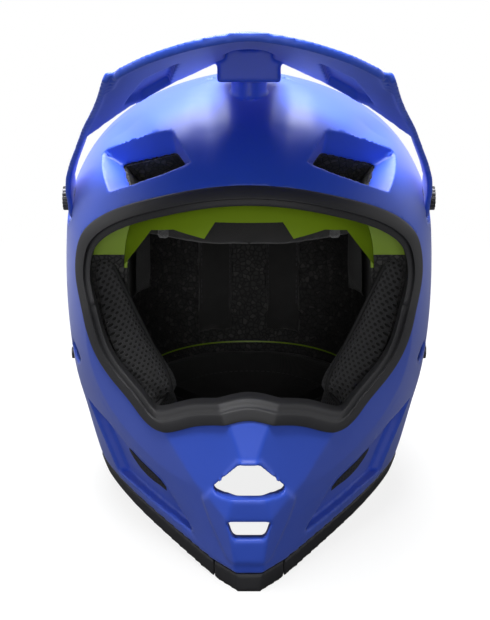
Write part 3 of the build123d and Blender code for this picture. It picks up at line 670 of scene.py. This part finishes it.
def node_copy(frame: dict, node: str, name: str) -> Piece:
    """A merged copy of a CAD node's mesh as a piece of its own.

    Args:
        frame: The loaded frame.
        node: The CAD node.
        name: The new piece's name.

    Returns:
        The new piece.
    """
    mesh = frame["nodes"][node].data.copy()
    mesh.materials.clear()
    with opened(mesh) as work:
        bmesh.ops.remove_doubles(work, verts=work.verts, dist=1e-6)
    for layer in [a.name for a in mesh.attributes if a.name == "custom_normal"]:
        mesh.attributes.remove(mesh.attributes[layer])
    return new_piece(name, mesh)


def voxelled(piece: Piece, voxel: float, rounds: int) -> Piece:
    """Remeshes a closed piece into even quads and rounds its edges.

    Args:
        piece: The piece to remesh.
        voxel: The quads' size in metres.
        rounds: How many smoothing rounds follow.

    Returns:
        The same piece with its new mesh.
    """
    remesh = piece.modifiers.new("quads", "REMESH")
    remesh.mode = "VOXEL"
    remesh.voxel_size = voxel
    smooth = piece.modifiers.new("round", "SMOOTH")
    smooth.factor = 0.5
    smooth.iterations = rounds
    return baked(piece)


def cast(target: Piece, rays: list[Ray]) -> list[tuple[bool, Vector, Vector, int]]:
    """Where rays given in ear-line millimetres first meet a piece, as the piece's ray_cast tells it."""
    return [
        target.ray_cast(Vector((x, y + EAR_SHIFT, z)) * MM, Vector(way).normalized())
        for (x, y, z), way in rays
    ]


def patch(name: str, target: Piece, rays: list[Ray], columns: int, heights: list[float]) -> Piece | None:
    """A thin closed patch that lies on a piece where a grid of rays meets it.

    Args:
        name: The patch's name.
        target: The piece that it lies on.
        rays: Starts and directions in ear-line millimetres, row by row.
        columns: How many rays a row has.
        heights: The patch's height over the piece at each row, in millimetres.

    Returns:
        The patch, or None where a ray misses.
    """
    found = cast(target, rays)
    if not all(met for met, _, _, _ in found):
        log.info("%s: its place is missed", name)
        return None
    rows, count, last = len(heights), len(found), columns - 1
    sole, rise, roundness = 0.1, 0.15, 6
    skins = [where + normal * sole * MM for _, where, normal, _ in found]
    for k, (_, where, normal, _) in enumerate(found):
        row, column = divmod(k, columns)
        fall = 1 - (2 * column / last - 1) ** roundness
        skins.append(where + normal * (rise + heights[row] * fall) * MM)
    quads = grid_faces(rows, columns, False, False)
    rim = [*range(columns), *(r * columns + last for r in range(1, rows))]
    rim += [(rows - 1) * columns + c for c in range(last - 1, -1, -1)]
    rim += [r * columns for r in range(rows - 2, 0, -1)]
    faces = quads + [tuple(k + count for k in reversed(quad)) for quad in quads]
    faces += [(a, b, b + count, a + count) for a, b in zip(rim, rim[1:] + rim[:1])]
    return new_piece(name, closed_mesh(name, [tuple(v) for v in skins], faces))


@dataclass
class ShellWork:
    """The painted shell and the visor, with rounded edges and true curves.

    The scoop tables are the rim and the depth of the left side scoop's wall, in ear-line millimetres. The
    eye is a point before the helmet that sees into both scoops.
    """

    voxel: float = 0.0012
    shell_rounds: int = 6
    visor_rounds: int = 4
    most_triangles: int = 190000
    brow_z: float = 200.0
    brow_y: float = -12.0
    brow_reach: float = 5.0
    skin_reach: float = 1.3
    overshoot: float = 1.2
    brow_match: float = 0.6
    skin_match: float = 0.86
    match_run: float = 0.1
    facet_margin: float = 1.5
    eye: tuple[float, float, float] = (0.0, -865.1, 369.1)
    shade_screen_rows: int = 8
    shade_screen_columns: int = 30
    shade_screen_start: float = 0.3
    shade_screen_run: float = 0.62
    shade_screen_height: float = 0.3
    scoop_upper: tuple[tuple[float, float, float], ...] = (
        (73.9, -96.1, 61.4), (70.4, -101.0, 60.8), (65.7, -106.7, 58.5), (61.1, -112.3, 56.9),
        (56.6, -117.6, 54.6), (52.8, -121.5, 51.7), (49.7, -123.8, 47.5),
    )
    scoop_lower: tuple[tuple[float, float, float], ...] = (
        (75.8, -70.7, 47.9), (72.4, -74.7, 44.0), (68.2, -80.2, 40.2), (63.3, -87.3, 37.7),
        (58.5, -94.6, 36.9), (54.3, -101.1, 37.0), (50.3, -106.7, 36.1),
    )

    def build(self, frame: dict, wardrobe: Wardrobe, form: HeadForm) -> None:
        """Builds, dresses and places the shell, the dark screens of painted shade in its scoops, and the visor.
        """
        shell = voxelled(node_copy(frame, "outer_shell", "painted_shell"), self.voxel, self.shell_rounds)
        self.true_up(shell, form)
        thinner = shell.modifiers.new("thinner", "DECIMATE")
        thinner.ratio = min(1.0, self.most_triangles / (2 * len(shell.data.polygons)))
        wardrobe.fit(baked(shell), PAINT, "outer_shell")
        self.shade_screens(shell, wardrobe)
        visor = voxelled(node_copy(frame, "visor", "painted_visor"), self.voxel, self.visor_rounds)
        wardrobe.fit(visor, PAINT, "visor", body=Body.VISOR)

    def shade_screens(self, shell: Piece, wardrobe: Wardrobe) -> None:
        """Lays a dark mesh screen on the inner wall of each side scoop, as painted shade for the depth of the
        scoop's hole.
        """
        rim, deep = np.array(self.scoop_upper), np.array(self.scoop_lower)
        knots = np.arange(len(rim))
        aims = []
        for share in np.linspace(0, 1, self.shade_screen_rows):
            wall = rim + (deep - rim) * (self.shade_screen_start + self.shade_screen_run * share)
            for along in np.linspace(0, len(rim) - 1, self.shade_screen_columns):
                aims.append([np.interp(along, knots, wall[:, k]) for k in range(3)])
        for side, sign in SIDES.items():
            rays = [(self.eye, tuple(np.array([sign * x, y, z]) - self.eye)) for x, y, z in aims]
            heights = [self.shade_screen_height] * self.shade_screen_rows
            piece = patch(f"scoop_shade_screen_{side}", shell, rays, self.shade_screen_columns, heights)
            if piece:
                wardrobe.fit(piece, SCOOP_SHADE_SCREEN, smooth_angle=60.0)

    def true_up(self, shell: Piece, form: HeadForm) -> None:
        """Moves the shell's outer skin onto the exact form and sinks the forehead's valleys."""
        places, normals = coordinates(shell.data), directions(shell.data)
        points = form.in_ear_frame(places)
        gap, out = form.distance(points)
        match = np.sum(normals * out, axis=1)
        brow = (points[:, 2] > self.brow_z) & (points[:, 1] < self.brow_y)
        near = (gap > np.where(brow, -self.brow_reach, -self.skin_reach)) & (gap < self.overshoot)
        least = np.where(brow, self.brow_match, self.skin_match)
        weight = np.clip((match - least) / self.match_run, 0, 1) * near
        for a, b, c, level in form.facets:
            across = a * np.abs(points[:, 0]) + b * points[:, 1] + c * points[:, 2] - level
            weight *= np.where((across > -self.facet_margin) & (points[:, 2] < form.facet_top), 0, 1)
        sink = np.where(brow, form.sunk(points), 0)
        moved = points - out * (weight * (gap + sink))[:, None]
        again, out = form.distance(moved)
        moved -= out * (weight * (again + sink))[:, None]
        set_coordinates(shell.data, form.in_part_frame(moved))


@dataclass
class TrimWork:
    """The rubber trims: the face trim swept round the opening in two steps, and the four rim trims.

    The outline is the right half of the opening in shares of its size. The section holds millimetres in
    from the outline and back from the shell's skin.
    """

    half_width: float = 105.0
    bottom: float = 86.0
    top: float = 226.0
    outline: tuple[tuple[float, float], ...] = (
        (0.000, 1.000), (0.305, 0.979), (0.505, 0.943), (0.714, 0.886), (0.860, 0.818), (0.955, 0.735),
        (0.995, 0.640), (1.000, 0.550), (0.965, 0.430), (0.886, 0.240), (0.790, 0.150), (0.657, 0.066),
        (0.590, 0.018), (0.540, 0.000), (0.457, 0.008), (0.305, 0.064), (0.114, 0.107), (0.000, 0.121),
    )
    section: tuple[tuple[float, float], ...] = (
        (0.1, 13.0), (0.1, 4.0), (0.1, 0.6), (-1.6, -0.1), (-1.5, -0.8), (-0.9, -1.2),
        (4.2, -1.3), (4.9, -1.1), (5.3, -0.5), (5.6, 0.3), (7.2, 0.8), (8.9, 1.5),
        (9.4, 2.2), (9.5, 5.5), (9.5, 9.0), (9.3, 13.0), (6.0, 13.8), (3.0, 13.8),
    )
    least_slope: float = 0.45
    samples: int = 40
    steps: int = 420
    voxel: float = 0.0011
    swell: float = 0.0002
    node_names: tuple[str, ...] = ("nose_trim", "rim_trim_left", "rim_trim_right", "nape_trim")

    def build(self, frame: dict, wardrobe: Wardrobe, form: HeadForm) -> None:
        """Builds and places all the trims."""
        wardrobe.fit(new_piece("stepped_face_trim", self.swept(form)), TRIM, "face_trim", smooth_angle=50.0)
        for node in self.node_names:
            piece = voxelled(node_copy(frame, node, f"soft_{node}"), self.voxel, 2)
            grown = coordinates(piece.data) + directions(piece.data) * self.swell
            grown[:, 2] = np.maximum(grown[:, 2], 0)
            set_coordinates(piece.data, grown)
            wardrobe.fit(piece, TRIM, node)

    def curve(self) -> np.ndarray:
        """The opening's outline as evenly spaced points with a smooth closed cubic through its corners."""
        half = [(x * self.half_width, self.bottom + z * (self.top - self.bottom)) for x, z in self.outline]
        knots = np.array(half + [(-x, z) for x, z in reversed(half[1:-1])])
        count = len(knots)
        chord = np.linalg.norm(np.roll(knots, -1, axis=0) - knots, axis=1)
        rows, right = np.zeros((count, count)), np.zeros((count, 2))
        for k in range(count):
            before, after = chord[k - 1], chord[k]
            rows[k, k - 1], rows[k, k], rows[k, (k + 1) % count] = after, 2 * (before + after), before
            ahead, behind = knots[(k + 1) % count] - knots[k], knots[k] - knots[k - 1]
            right[k] = 3 * (ahead * before / after + behind * after / before)
        slopes = np.linalg.solve(rows, right)
        following = [(k + 1) % count for k in range(count)]
        fine = np.array([
            hermite(t, knots[k], chord[k] * slopes[k], knots[following[k]], chord[k] * slopes[following[k]])
            for k in range(count) for t in np.linspace(0, 1, self.samples, endpoint=False)
        ])
        length = np.concatenate([[0], np.cumsum(np.linalg.norm(np.roll(fine, -1, axis=0) - fine, axis=1))])
        closed = np.vstack([fine, fine[:1]])
        even = np.linspace(0, length[-1], self.steps, endpoint=False)
        return np.column_stack([np.interp(even, length, closed[:, k]) for k in range(2)])

    def swept(self, form: HeadForm) -> Mesh:
        """The face trim's closed mesh: its section carried round the opening along the shell's skin."""
        edge = self.curve()
        run = np.roll(edge, -1, axis=0) - np.roll(edge, 1, axis=0)
        run /= np.linalg.norm(run, axis=1)[:, None]
        inward = np.column_stack([-run[:, 1], run[:, 0]])
        middle = np.array([0.0, (self.top + self.bottom) / 2])
        inward *= np.sign(np.sum(inward * (middle - edge), axis=1))[:, None]
        places = []
        for across, depth in self.section:
            x, z = (edge + inward * across).T
            skin = form.front_y(x, z)
            _, out = form.distance(np.column_stack([x, skin, z]))
            lift = depth / np.clip(np.abs(out[:, 1]), self.least_slope, 1) if depth < 0 else depth
            places.append(np.column_stack([x, skin + lift, z]))
        grid = np.stack(places, axis=1)
        faces = grid_faces(*grid.shape[:2], True, True)
        return closed_mesh("stepped_face_trim", form.in_part_frame(grid.reshape(-1, 3)).tolist(), faces)


@dataclass
class PadWork:
    """The sewn pads, puffed with cloth and kept off the liner.

    The flank is the cheek pads' tall front, as rows of height, outer edge, inner edge and front in
    ear-line millimetres. A depth is how far under the outer form the wall lies that a pad is kept inside.
    """

    flank: tuple[tuple[float, float, float, float], ...] = (
        (90, 64, 44, -85), (98, 71, 45, -85.5), (106, 79, 49, -83.5), (117, 86.5, 55, -79),
        (128, 91, 61, -75.5), (141, 94.5, 67.5, -73), (153, 96.5, 73, -71.5), (163, 97.5, 77, -70.5),
        (170, 97, 80.5, -69), (174, 94, 85, -67),
    )
    flank_back: float = -62.4
    flank_power: float = 0.6
    flank_round: int = 28
    thin: tuple[str, ...] = (
        "brow_pad", "crown_pad_left", "crown_pad_right", "side_pad_left", "side_pad_right",
    )
    thick: tuple[str, ...] = ("cheek_pad_left", "cheek_pad_right", "neck_roll")
    thin_cap: float = 2.0
    thick_cap: float = 4.0
    liner_depth: float = 30.7
    foam_depth: float = 19.8
    voxel: float = 0.003
    pressure: float = 4.0
    frames: int = 20

    def build(self, frame: dict, wardrobe: Wardrobe, form: HeadForm) -> dict[str, Piece]:
        """Builds every pad and returns the pieces by node name."""
        made = {}
        for node in (*self.thin, *self.thick):
            thin = node in self.thin
            piece = made[node] = node_copy(frame, node, f"sewn_{node}")
            cheek = node.startswith("cheek")
            if cheek:
                self.add_flank(piece, form, SIDES[node.rsplit("_", 1)[-1]])
            self.puffed(piece, (self.thin_cap if thin else self.thick_cap) * MM)
            self.hold_back(piece, form, self.liner_depth if thin else self.foam_depth)
            wardrobe.fit(piece, OPEN_MESH if cheek else KNIT, node)
        return made

    def add_flank(self, piece: Piece, form: HeadForm, side: int) -> None:
        """Adds the tall front to a cheek pad's mesh, as a closed body that the remeshing merges with it."""
        angles = np.linspace(0, 2 * math.pi, self.flank_round, endpoint=False)
        across, along = (np.sign(v) * np.abs(v) ** self.flank_power for v in (np.cos(angles), np.sin(angles)))
        rings = []
        for z, outer, inner, front in self.flank:
            x = (outer + inner) / 2 + (outer - inner) / 2 * across
            y = (self.flank_back + front) / 2 + (self.flank_back - front) / 2 * along
            rings.append(np.column_stack([side * x, y, np.full(len(x), float(z))]))
        rows, count = len(rings), self.flank_round
        faces = grid_faces(rows, count, False, True)
        faces += [tuple(range(count)), tuple(range((rows - 1) * count, rows * count))]
        front = closed_mesh("flank", form.in_part_frame(np.vstack(rings)).tolist(), faces)
        with opened(front) as work:
            work.from_mesh(piece.data)
        piece.data = front

    def puffed(self, piece: Piece, cap: float) -> Piece:
        """Shrinks a pad a little, swells it with cloth and adds one subdivision.

        Args:
            piece: The pad's closed mesh.
            cap: The furthest that a point may move, in metres.

        Returns:
            The swollen pad.
        """
        voxelled(piece, self.voxel, 2)
        start = coordinates(piece.data) - directions(piece.data) * cap * 0.5
        set_coordinates(piece.data, start)
        self.simulate(piece)
        step = coordinates(piece.data) - start
        length = np.maximum(np.linalg.norm(step, axis=1), 1e-9)
        step *= np.minimum(1, cap / length)[:, None]
        set_coordinates(piece.data, start + step)
        finer = piece.modifiers.new("finer", "SUBSURF")
        finer.levels = finer.render_levels = 1
        return baked(piece)

    def simulate(self, piece: Piece) -> None:
        """Runs the cloth for its set frames and keeps the last shape."""
        cloth = piece.modifiers.new("cloth", "CLOTH")
        cloth.settings.use_pressure = True
        cloth.settings.uniform_pressure_force = self.pressure
        cloth.settings.effector_weights.gravity = 0
        cloth.settings.quality = 4
        scene = bpy.context.scene
        for number in range(1, self.frames + 1):
            scene.frame_set(number)
        baked(piece)
        scene.frame_set(1)

    def hold_back(self, piece: Piece, form: HeadForm, wall: float) -> None:
        """Keeps a pad inside the wall that it lies on, at its depth, behind the foam's front."""
        points = form.in_ear_frame(coordinates(piece.data))
        behind = points[:, 1] > self.flank_back + 2
        for _ in range(2):
            gap, out = form.distance(points)
            points -= out * (np.maximum(gap + wall, 0) * behind)[:, None]
        set_coordinates(piece.data, form.in_part_frame(points))


@dataclass
class StitchRow:
    """A Geometry Nodes tree that lays short stitches along a curve, with its sizes in millimetres."""

    thread: Material
    pitch: float = 4.0
    length: float = 2.9
    thickness: float = 0.75
    tree: Tree = field(init=False)
    sockets: dict[str, str] = field(init=False)

    def __post_init__(self) -> None:
        """Builds the tree with its named sizes."""
        self.tree = tree = bpy.data.node_groups.new("Stitch row", "GeometryNodeTree")
        tree.interface.new_socket("Geometry", in_out="INPUT", socket_type="NodeSocketGeometry")
        kinds = dict.fromkeys(("Pitch", "Length", "Thickness"), "NodeSocketFloat")
        kinds["Thread"] = "NodeSocketMaterial"
        self.sockets = {
            label: tree.interface.new_socket(label, in_out="INPUT", socket_type=kind).identifier
            for label, kind in kinds.items()
        }
        tree.interface.new_socket("Geometry", in_out="OUTPUT", socket_type="NodeSocketGeometry")
        graph = Graph(tree)
        given, out = tree.nodes.new("NodeGroupInput").outputs, tree.nodes.new("NodeGroupOutput")
        points = graph.add(
            "GeometryNodeCurveToPoints", {"mode": "LENGTH"}, Curve=given["Geometry"], Length=given["Pitch"],
        ).outputs
        bead = graph.add("GeometryNodeMeshUVSphere", Segments=8, Rings=5, Radius=0.5)
        thick = given["Thickness"]
        size = graph.add("ShaderNodeCombineXYZ", X=thick, Y=thick, Z=given["Length"])
        laid = graph.add(
            "GeometryNodeInstanceOnPoints", Points=points["Points"], Instance=bead.outputs["Mesh"],
            Rotation=points["Rotation"], Scale=size.outputs["Vector"],
        )
        real = graph.add("GeometryNodeRealizeInstances", Geometry=laid.outputs["Instances"])
        smooth = graph.add("GeometryNodeSetShadeSmooth", Geometry=real.outputs["Geometry"])
        dyed = graph.add(
            "GeometryNodeSetMaterial", Geometry=smooth.outputs["Geometry"], Material=given["Thread"],
        )
        graph.feed(out.inputs["Geometry"], dyed.outputs["Geometry"])

    def sew(self, curve: Piece) -> Piece:
        """Turns a curve into a row of stitches, as a plain mesh piece with the curve's name."""
        modifier = curve.modifiers.new("stitches", "NODES")
        modifier.node_group = self.tree
        sizes = {"Pitch": self.pitch, "Length": self.length, "Thickness": self.thickness}
        for label, value in sizes.items():
            modifier[self.sockets[label]] = value * MM
        modifier[self.sockets["Thread"]] = self.thread
        curve.update_tag()
        return meshed(curve)


def line(name: str, points: list[Vector], closed: bool, radius: float = 0.0) -> Piece:
    """A smooth curve through points, with a round section where a radius is given."""
    data = bpy.data.curves.new(name, "CURVE")
    data.dimensions = "3D"
    data.bevel_depth = radius
    data.bevel_resolution = 2
    data.use_fill_caps = not closed
    spline = data.splines.new("BEZIER")
    spline.bezier_points.add(len(points) - 1)
    for knot, at in zip(spline.bezier_points, points):
        knot.co = at
        knot.handle_left_type = knot.handle_right_type = "AUTO"
    spline.use_cyclic_u = closed
    spline.resolution_u = 6
    return new_piece(name, data)


@dataclass
class SeamWork:
    """Stitched seams, edge bindings and pull tabs on the pads, found by looking at each pad along rays.

    The cheek is a pad's inner edge by place along and height, and the flank is its front edge by place
    across and height, in ear-line millimetres. The inner seam shrinks the cheek about its middle.
    """

    wardrobe: Wardrobe
    cheek: tuple[tuple[float, float], ...] = (
        (-100, 76), (-88, 82), (-72, 86), (-54, 88), (-38, 86), (-26, 78), (-21, 62),
        (-26, 40), (-40, 29), (-58, 23), (-76, 26), (-92, 33), (-101, 42), (-104, 60),
    )
    cheek_middle: tuple[float, float] = (-64.0, 60.0)
    cheek_shrink: tuple[float, float] = (0.9, 0.86)
    flank: tuple[tuple[float, float], ...] = (
        (48.5, 92), (49.5, 99), (53, 107), (59, 117.5), (65, 128.5), (71, 141), (76, 152), (80, 161),
        (83.5, 168),
    )
    seam_step: float = 4.0
    strip_edges: tuple[tuple[str, float], ...] = (("near", 14.5), ("far", 35.5))
    strip_middle: tuple[float, float] = (5.0, 130.0)
    strip_angles: tuple[int, int, int] = (-18, 116, 8)
    nape_middle: tuple[float, float] = (20.0, 42.0)
    nape_angles: tuple[int, int, int] = (12, 169, 8)
    brow_middle: tuple[float, float] = (-20.0, 193.0)
    brow_span: tuple[int, int, int] = (-56, 57, 8)
    rise: float = 0.02
    binding_radius: float = 1.3
    before: float = -140.0
    tab_rows: int = 12
    tab_columns: int = 9
    tab_corner: tuple[float, float] = (48.0, 198.5)
    tab_size: tuple[float, float] = (6.5, 7.5)
    tab_height: float = 1.0
    fold_height: float = 0.9
    fold_rows: float = 2.5

    def build(self, pads: dict[str, Piece]) -> None:
        """Sews every seam."""
        sewing = StitchRow(self.wardrobe.get(THREAD))
        (middle_y, middle_z), (along, up) = self.cheek_middle, self.cheek_shrink
        inner = [(middle_y + (y - middle_y) * along, middle_z + (z - middle_z) * up) for y, z in self.cheek]
        strip = [(0, math.cos(a), math.sin(a)) for a in np.radians(np.arange(*self.strip_angles))]
        for side, sign in SIDES.items():
            pad = pads[f"cheek_pad_{side}"]
            outward = (sign, 0, 0)
            self.bind(f"bound_cheek_{side}", pad, [((0, y, z), outward) for y, z in self.cheek], True)
            self.bind(f"bound_flank_{side}", pad, self.from_front(sign, self.flank), False)
            seam = [(x + self.seam_step, z) for x, z in self.flank]
            self.row(f"flank_stitch_{side}", pad, self.from_front(sign, seam), False, sewing)
            self.tab(f"pull_tab_{side}", pads["brow_pad"], sign)
            self.row(f"cheek_stitch_{side}", pad, [((0, y, z), outward) for y, z in inner], True, sewing)
            for edge, x in self.strip_edges:
                rays = [((sign * x, *self.strip_middle), way) for way in strip]
                self.row(f"strip_stitch_{side}_{edge}", pads[f"crown_pad_{side}"], rays, False, sewing)
        fan = [(math.cos(a), math.sin(a), self.rise) for a in np.radians(np.arange(*self.nape_angles))]
        self.row("nape_stitch", pads["neck_roll"], [((0, *self.nape_middle), way) for way in fan], False, sewing)
        rays = [((x, *self.brow_middle), (0, -1, self.rise)) for x in range(*self.brow_span)]
        self.row("brow_stitch", pads["brow_pad"], rays, False, sewing)

    def from_front(self, sign: int, spots: list[tuple[float, float]]) -> list[Ray]:
        """Rays that run back from before the helmet at places across and up on one side."""
        return [((sign * x, self.before, z), (0, 1, 0)) for x, z in spots]

    def hits(self, pad: Piece, rays: list[Ray]) -> list[Vector]:
        """Points of a pad that rays meet first."""
        return [where for met, where, _, _ in cast(pad, rays) if met]

    def bind(self, name: str, pad: Piece, rays: list[Ray], closed: bool) -> None:
        """Lays one round binding where rays meet a pad."""
        binding = line(name, self.hits(pad, rays), closed, self.binding_radius * MM)
        self.wardrobe.fit(meshed(binding), BINDING)

    def tab(self, name: str, pad: Piece, sign: int) -> None:
        """A short fleece tab that lies on the brow pad's end, thickest at its folded lower edge."""
        rows, columns = self.tab_rows, self.tab_columns
        (x, z), (wide, tall) = self.tab_corner, self.tab_size
        across = [x + wide * c / (columns - 1) for c in range(columns)]
        spots = [(at, z - tall * r / (rows - 1)) for r in range(rows) for at in across]
        near_fold = [max(0.0, 1 - abs(r - rows + self.fold_rows) / self.fold_rows) for r in range(rows)]
        heights = [self.tab_height + self.fold_height * share for share in near_fold]
        piece = patch(name, pad, self.from_front(sign, spots), columns, heights)
        if piece:
            self.wardrobe.fit(piece, FLEECE, smooth_angle=60.0)

    def row(self, name: str, pad: Piece, rays: list[Ray], closed: bool, sewing: StitchRow) -> None:
        """Sews one row of stitches where rays meet a pad."""
        points = self.hits(pad, rays)
        if len(points) < 3:
            log.info("%s: too few points", name)
            return
        place(sewing.sew(line(name, points, closed)), THREAD.slot)


@dataclass
class LinerWork:
    """The slip liner: lime at its brow and nape edges, dark where the foam's cover lies on it, in metres."""

    brow_y: float = -0.040
    nape_z: float = 0.063
    temple_z: float = 0.166
    flange_y: float = -0.0455
    flange_z: float = 0.1745
    flange_thickness: float = 0.0008

    def build(self, frame: dict, wardrobe: Wardrobe) -> None:
        """Builds the two-toned liner and its front flange."""
        piece = node_copy(frame, "slip_liner", "toned_liner")
        self.split(piece, Vector((0, 1, 0)), self.brow_y)
        for level in (self.nape_z, self.temple_z):
            self.split(piece, Vector((0, 0, 1)), level)
        wardrobe.dress(piece, LIME, 40.0)
        piece.data.materials.append(wardrobe.get(FOAM))
        for face in piece.data.polygons:
            middle = face.center
            lime = (middle.y < self.brow_y and middle.z > self.temple_z) or middle.z < self.nape_z
            face.material_index = 0 if lime else 1
        place(piece, LIME.slot, "slip_liner")
        self.flange(frame, wardrobe)

    def split(self, piece: Piece, normal: Vector, level: float) -> None:
        """Cuts a mesh's faces along a plane, so that a colour can end there in a clean line."""
        with opened(piece.data) as work:
            every = work.verts[:] + work.edges[:] + work.faces[:]
            bmesh.ops.bisect_plane(work, geom=every, plane_co=normal * level, plane_no=normal)

    def flange(self, frame: dict, wardrobe: Wardrobe) -> None:
        """The liner's thin front flange over the foam's front face above the temples."""
        piece = node_copy(frame, "head_foam", "liner_flange")
        self.split(piece, Vector((0, 0, 1)), self.flange_z)
        with opened(piece.data) as work:
            off = [face for face in work.faces if not self.on_front(face)]
            bmesh.ops.delete(work, geom=off, context="FACES")
        thick = piece.modifiers.new("thick", "SOLIDIFY")
        thick.thickness = self.flange_thickness
        thick.offset = 1.0
        wardrobe.fit(baked(piece), LIME, smooth_angle=40.0)

    def on_front(self, face: bmesh.types.BMFace) -> bool:
        """Whether a face of the foam lies on its flat front, above the flange's lower edge."""
        middle = face.calc_center_median()
        return face.normal.y <= -0.95 and abs(middle.y - self.flange_y) <= MM and middle.z >= self.flange_z


@dataclass
class Hardware:
    """Nodes whose CAD shape is right and that only take a finish."""

    finishes: tuple[tuple[str, Finish], ...] = (
        ("visor_screw_left", ANODISED), ("visor_screw_right", ANODISED), ("crown_screw", ANODISED),
        ("pivot_insert_left", BRASS), ("pivot_insert_right", BRASS), ("crown_insert", BRASS),
        ("head_foam", FOAM), ("chin_foam", FOAM), ("slip_anchors", PUCK),
        ("cheek_snaps_left", NYLON), ("cheek_snaps_right", NYLON), ("strap_rivet_left", ANODISED),
        ("strap_rivet_right", ANODISED), ("ring_end", STEEL), ("ring_back", STEEL),
    )

    def build(self, frame: dict, wardrobe: Wardrobe) -> None:
        """Dresses each node."""
        for name, finish in self.finishes:
            wardrobe.dress_node(frame, name, finish)


@dataclass
class StrapWork:
    """The two webbing straps, with softened edges."""

    voxel: float = 0.0008

    def build(self, frame: dict, wardrobe: Wardrobe) -> None:
        """Builds both straps."""
        for side in SIDES:
            piece = voxelled(node_copy(frame, f"strap_{side}", f"webbing_{side}"), self.voxel, 1)
            wardrobe.fit(piece, WEBBING, f"strap_{side}")


@dataclass
class Studio:
    """Pale floor, soft lights and the photograph's camera.

    A lamp is its place, the point that it looks at, its width and its power.
    """

    elevation: float = 16.0
    distance: float = 0.9
    target: tuple[float, float, float] = (0.0, 0.0165, 0.121)
    lens: float = 77.7
    shift: float = -4 / 620
    half_floor: float = 20.0
    even_light: float = 0.09
    lamps: dict[str, tuple] = field(default_factory=lambda: {
        "crown": ((-0.1, 0.35, 1.3), (0, 0, 0.2), 0.9, 28),
        "front": ((-0.1, -0.28, 1.45), (0, -0.1, 0.1), 0.7, 30),
        "left": ((-1.4, -0.2, 0.6), (0, 0, 0.15), 0.8, 3),
        "right": ((1.4, -0.2, 0.6), (0, 0, 0.15), 0.8, 2),
        "fill": ((0.0, -1.2, 0.35), (0, 0, 0.12), 0.5, 2.5),
    })

    def build(self) -> None:
        """Builds the whole stage."""
        self.floor()
        self.air()
        for name, (at, to, size, power) in self.lamps.items():
            lamp = bpy.data.lights.new(name, "AREA")
            lamp.size, lamp.energy = size, power
            self.aimed(name, lamp, Vector(at), Vector(to))
        self.camera()

    def floor(self) -> None:
        """A wide pale floor under the helmet, white to the camera further out and dark to bounced light."""
        mesh = bpy.data.meshes.new("floor")
        corners = ((-1, -1), (1, -1), (1, 1), (-1, 1))
        places = [(x * self.half_floor, y * self.half_floor, 0) for x, y in corners]
        mesh.from_pydata(places, [], [(0, 1, 2, 3)])
        piece = new_piece("floor", mesh)
        made = bpy.data.materials.new("Pale floor")
        made.use_nodes = True
        graph = Graph(made.node_tree)
        shader = made.node_tree.nodes["Principled BSDF"]
        spot = graph.add("ShaderNodeTexCoord").outputs["Object"]
        tint = graph.mix(graph.noise(spot, 3.0), (0.93, 0.93, 0.935), (0.95, 0.95, 0.95))
        seen = graph.add("ShaderNodeLightPath").outputs["Is Camera Ray"]
        graph.feed(shader.inputs["Base Color"], graph.mix(seen, (0.09, 0.09, 0.095), tint))
        graph.feed(shader.inputs["Roughness"], 0.9)
        reach = graph.add("ShaderNodeVectorMath", {"operation": "LENGTH"}, Vector=spot).outputs["Value"]
        far = graph.plus(graph.times(graph.ramp(reach, 0.2, 0.8), 0.15), 0.85)
        white = graph.add("ShaderNodeEmission", Color=(1, 1, 1, 1), Strength=1.0)
        blend = graph.add("ShaderNodeMixShader", Fac=graph.times(seen, far))
        graph.feed(blend.inputs[1], shader.outputs[0])
        graph.feed(blend.inputs[2], white.outputs[0])
        graph.feed(made.node_tree.nodes["Material Output"].inputs["Surface"], blend.outputs[0])
        mesh.materials.append(made)

    def air(self) -> None:
        """An even world, white to the camera and brighter behind the helmet in its gloss."""
        world = bpy.data.worlds.new("Studio air")
        bpy.context.scene.world = world
        world.use_nodes = True
        graph = Graph(world.node_tree)
        background = world.node_tree.nodes["Background"]
        background.inputs["Color"].default_value = (1, 1, 1, 1)
        seen = graph.add("ShaderNodeLightPath")
        way = graph.add("ShaderNodeSeparateXYZ", Vector=graph.add("ShaderNodeTexCoord").outputs["Generated"])
        behind = graph.plus(graph.times(graph.ramp(way.outputs["Y"], -0.1, 0.6), 0.85), 0.12)
        shine = graph.math("MAXIMUM", graph.times(seen.outputs["Is Glossy Ray"], behind), self.even_light)
        graph.feed(background.inputs["Strength"], graph.math("MAXIMUM", seen.outputs["Is Camera Ray"], shine))

    def aimed(self, name: str, data: bpy.types.ID, at: Vector, to: Vector) -> Piece:
        """Links a lamp or a camera that stands at one point and looks at another."""
        thing = new_piece(name, data)
        thing.location = at
        thing.rotation_euler = (to - at).to_track_quat("-Z", "Y").to_euler()
        return thing

    def camera(self) -> None:
        """The camera at the photograph's place."""
        data = bpy.data.cameras.new("camera")
        data.sensor_fit = "VERTICAL"
        data.sensor_height = 36.0
        data.lens = self.lens
        data.shift_x = self.shift
        rise, target = math.radians(self.elevation), Vector(self.target)
        at = target + Vector((0, -math.cos(rise), math.sin(rise))) * self.distance
        bpy.context.scene.camera = self.aimed("camera", data, at, target)


def main() -> None:
    """Builds the helmet's looks on the loaded frame."""
    logging.basicConfig(level=logging.INFO, format="%(message)s")
    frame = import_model()
    bpy.context.scene.view_settings.view_transform = "Standard"
    wardrobe, form = Wardrobe(), HeadForm()
    Studio().build()
    ShellWork().build(frame, wardrobe, form)
    TrimWork().build(frame, wardrobe, form)
    pads = PadWork().build(frame, wardrobe, form)
    SeamWork(wardrobe).build(pads)
    StrapWork().build(frame, wardrobe)
    LinerWork().build(frame, wardrobe)
    Hardware().build(frame, wardrobe)


if __name__ == "__main__":
    main()
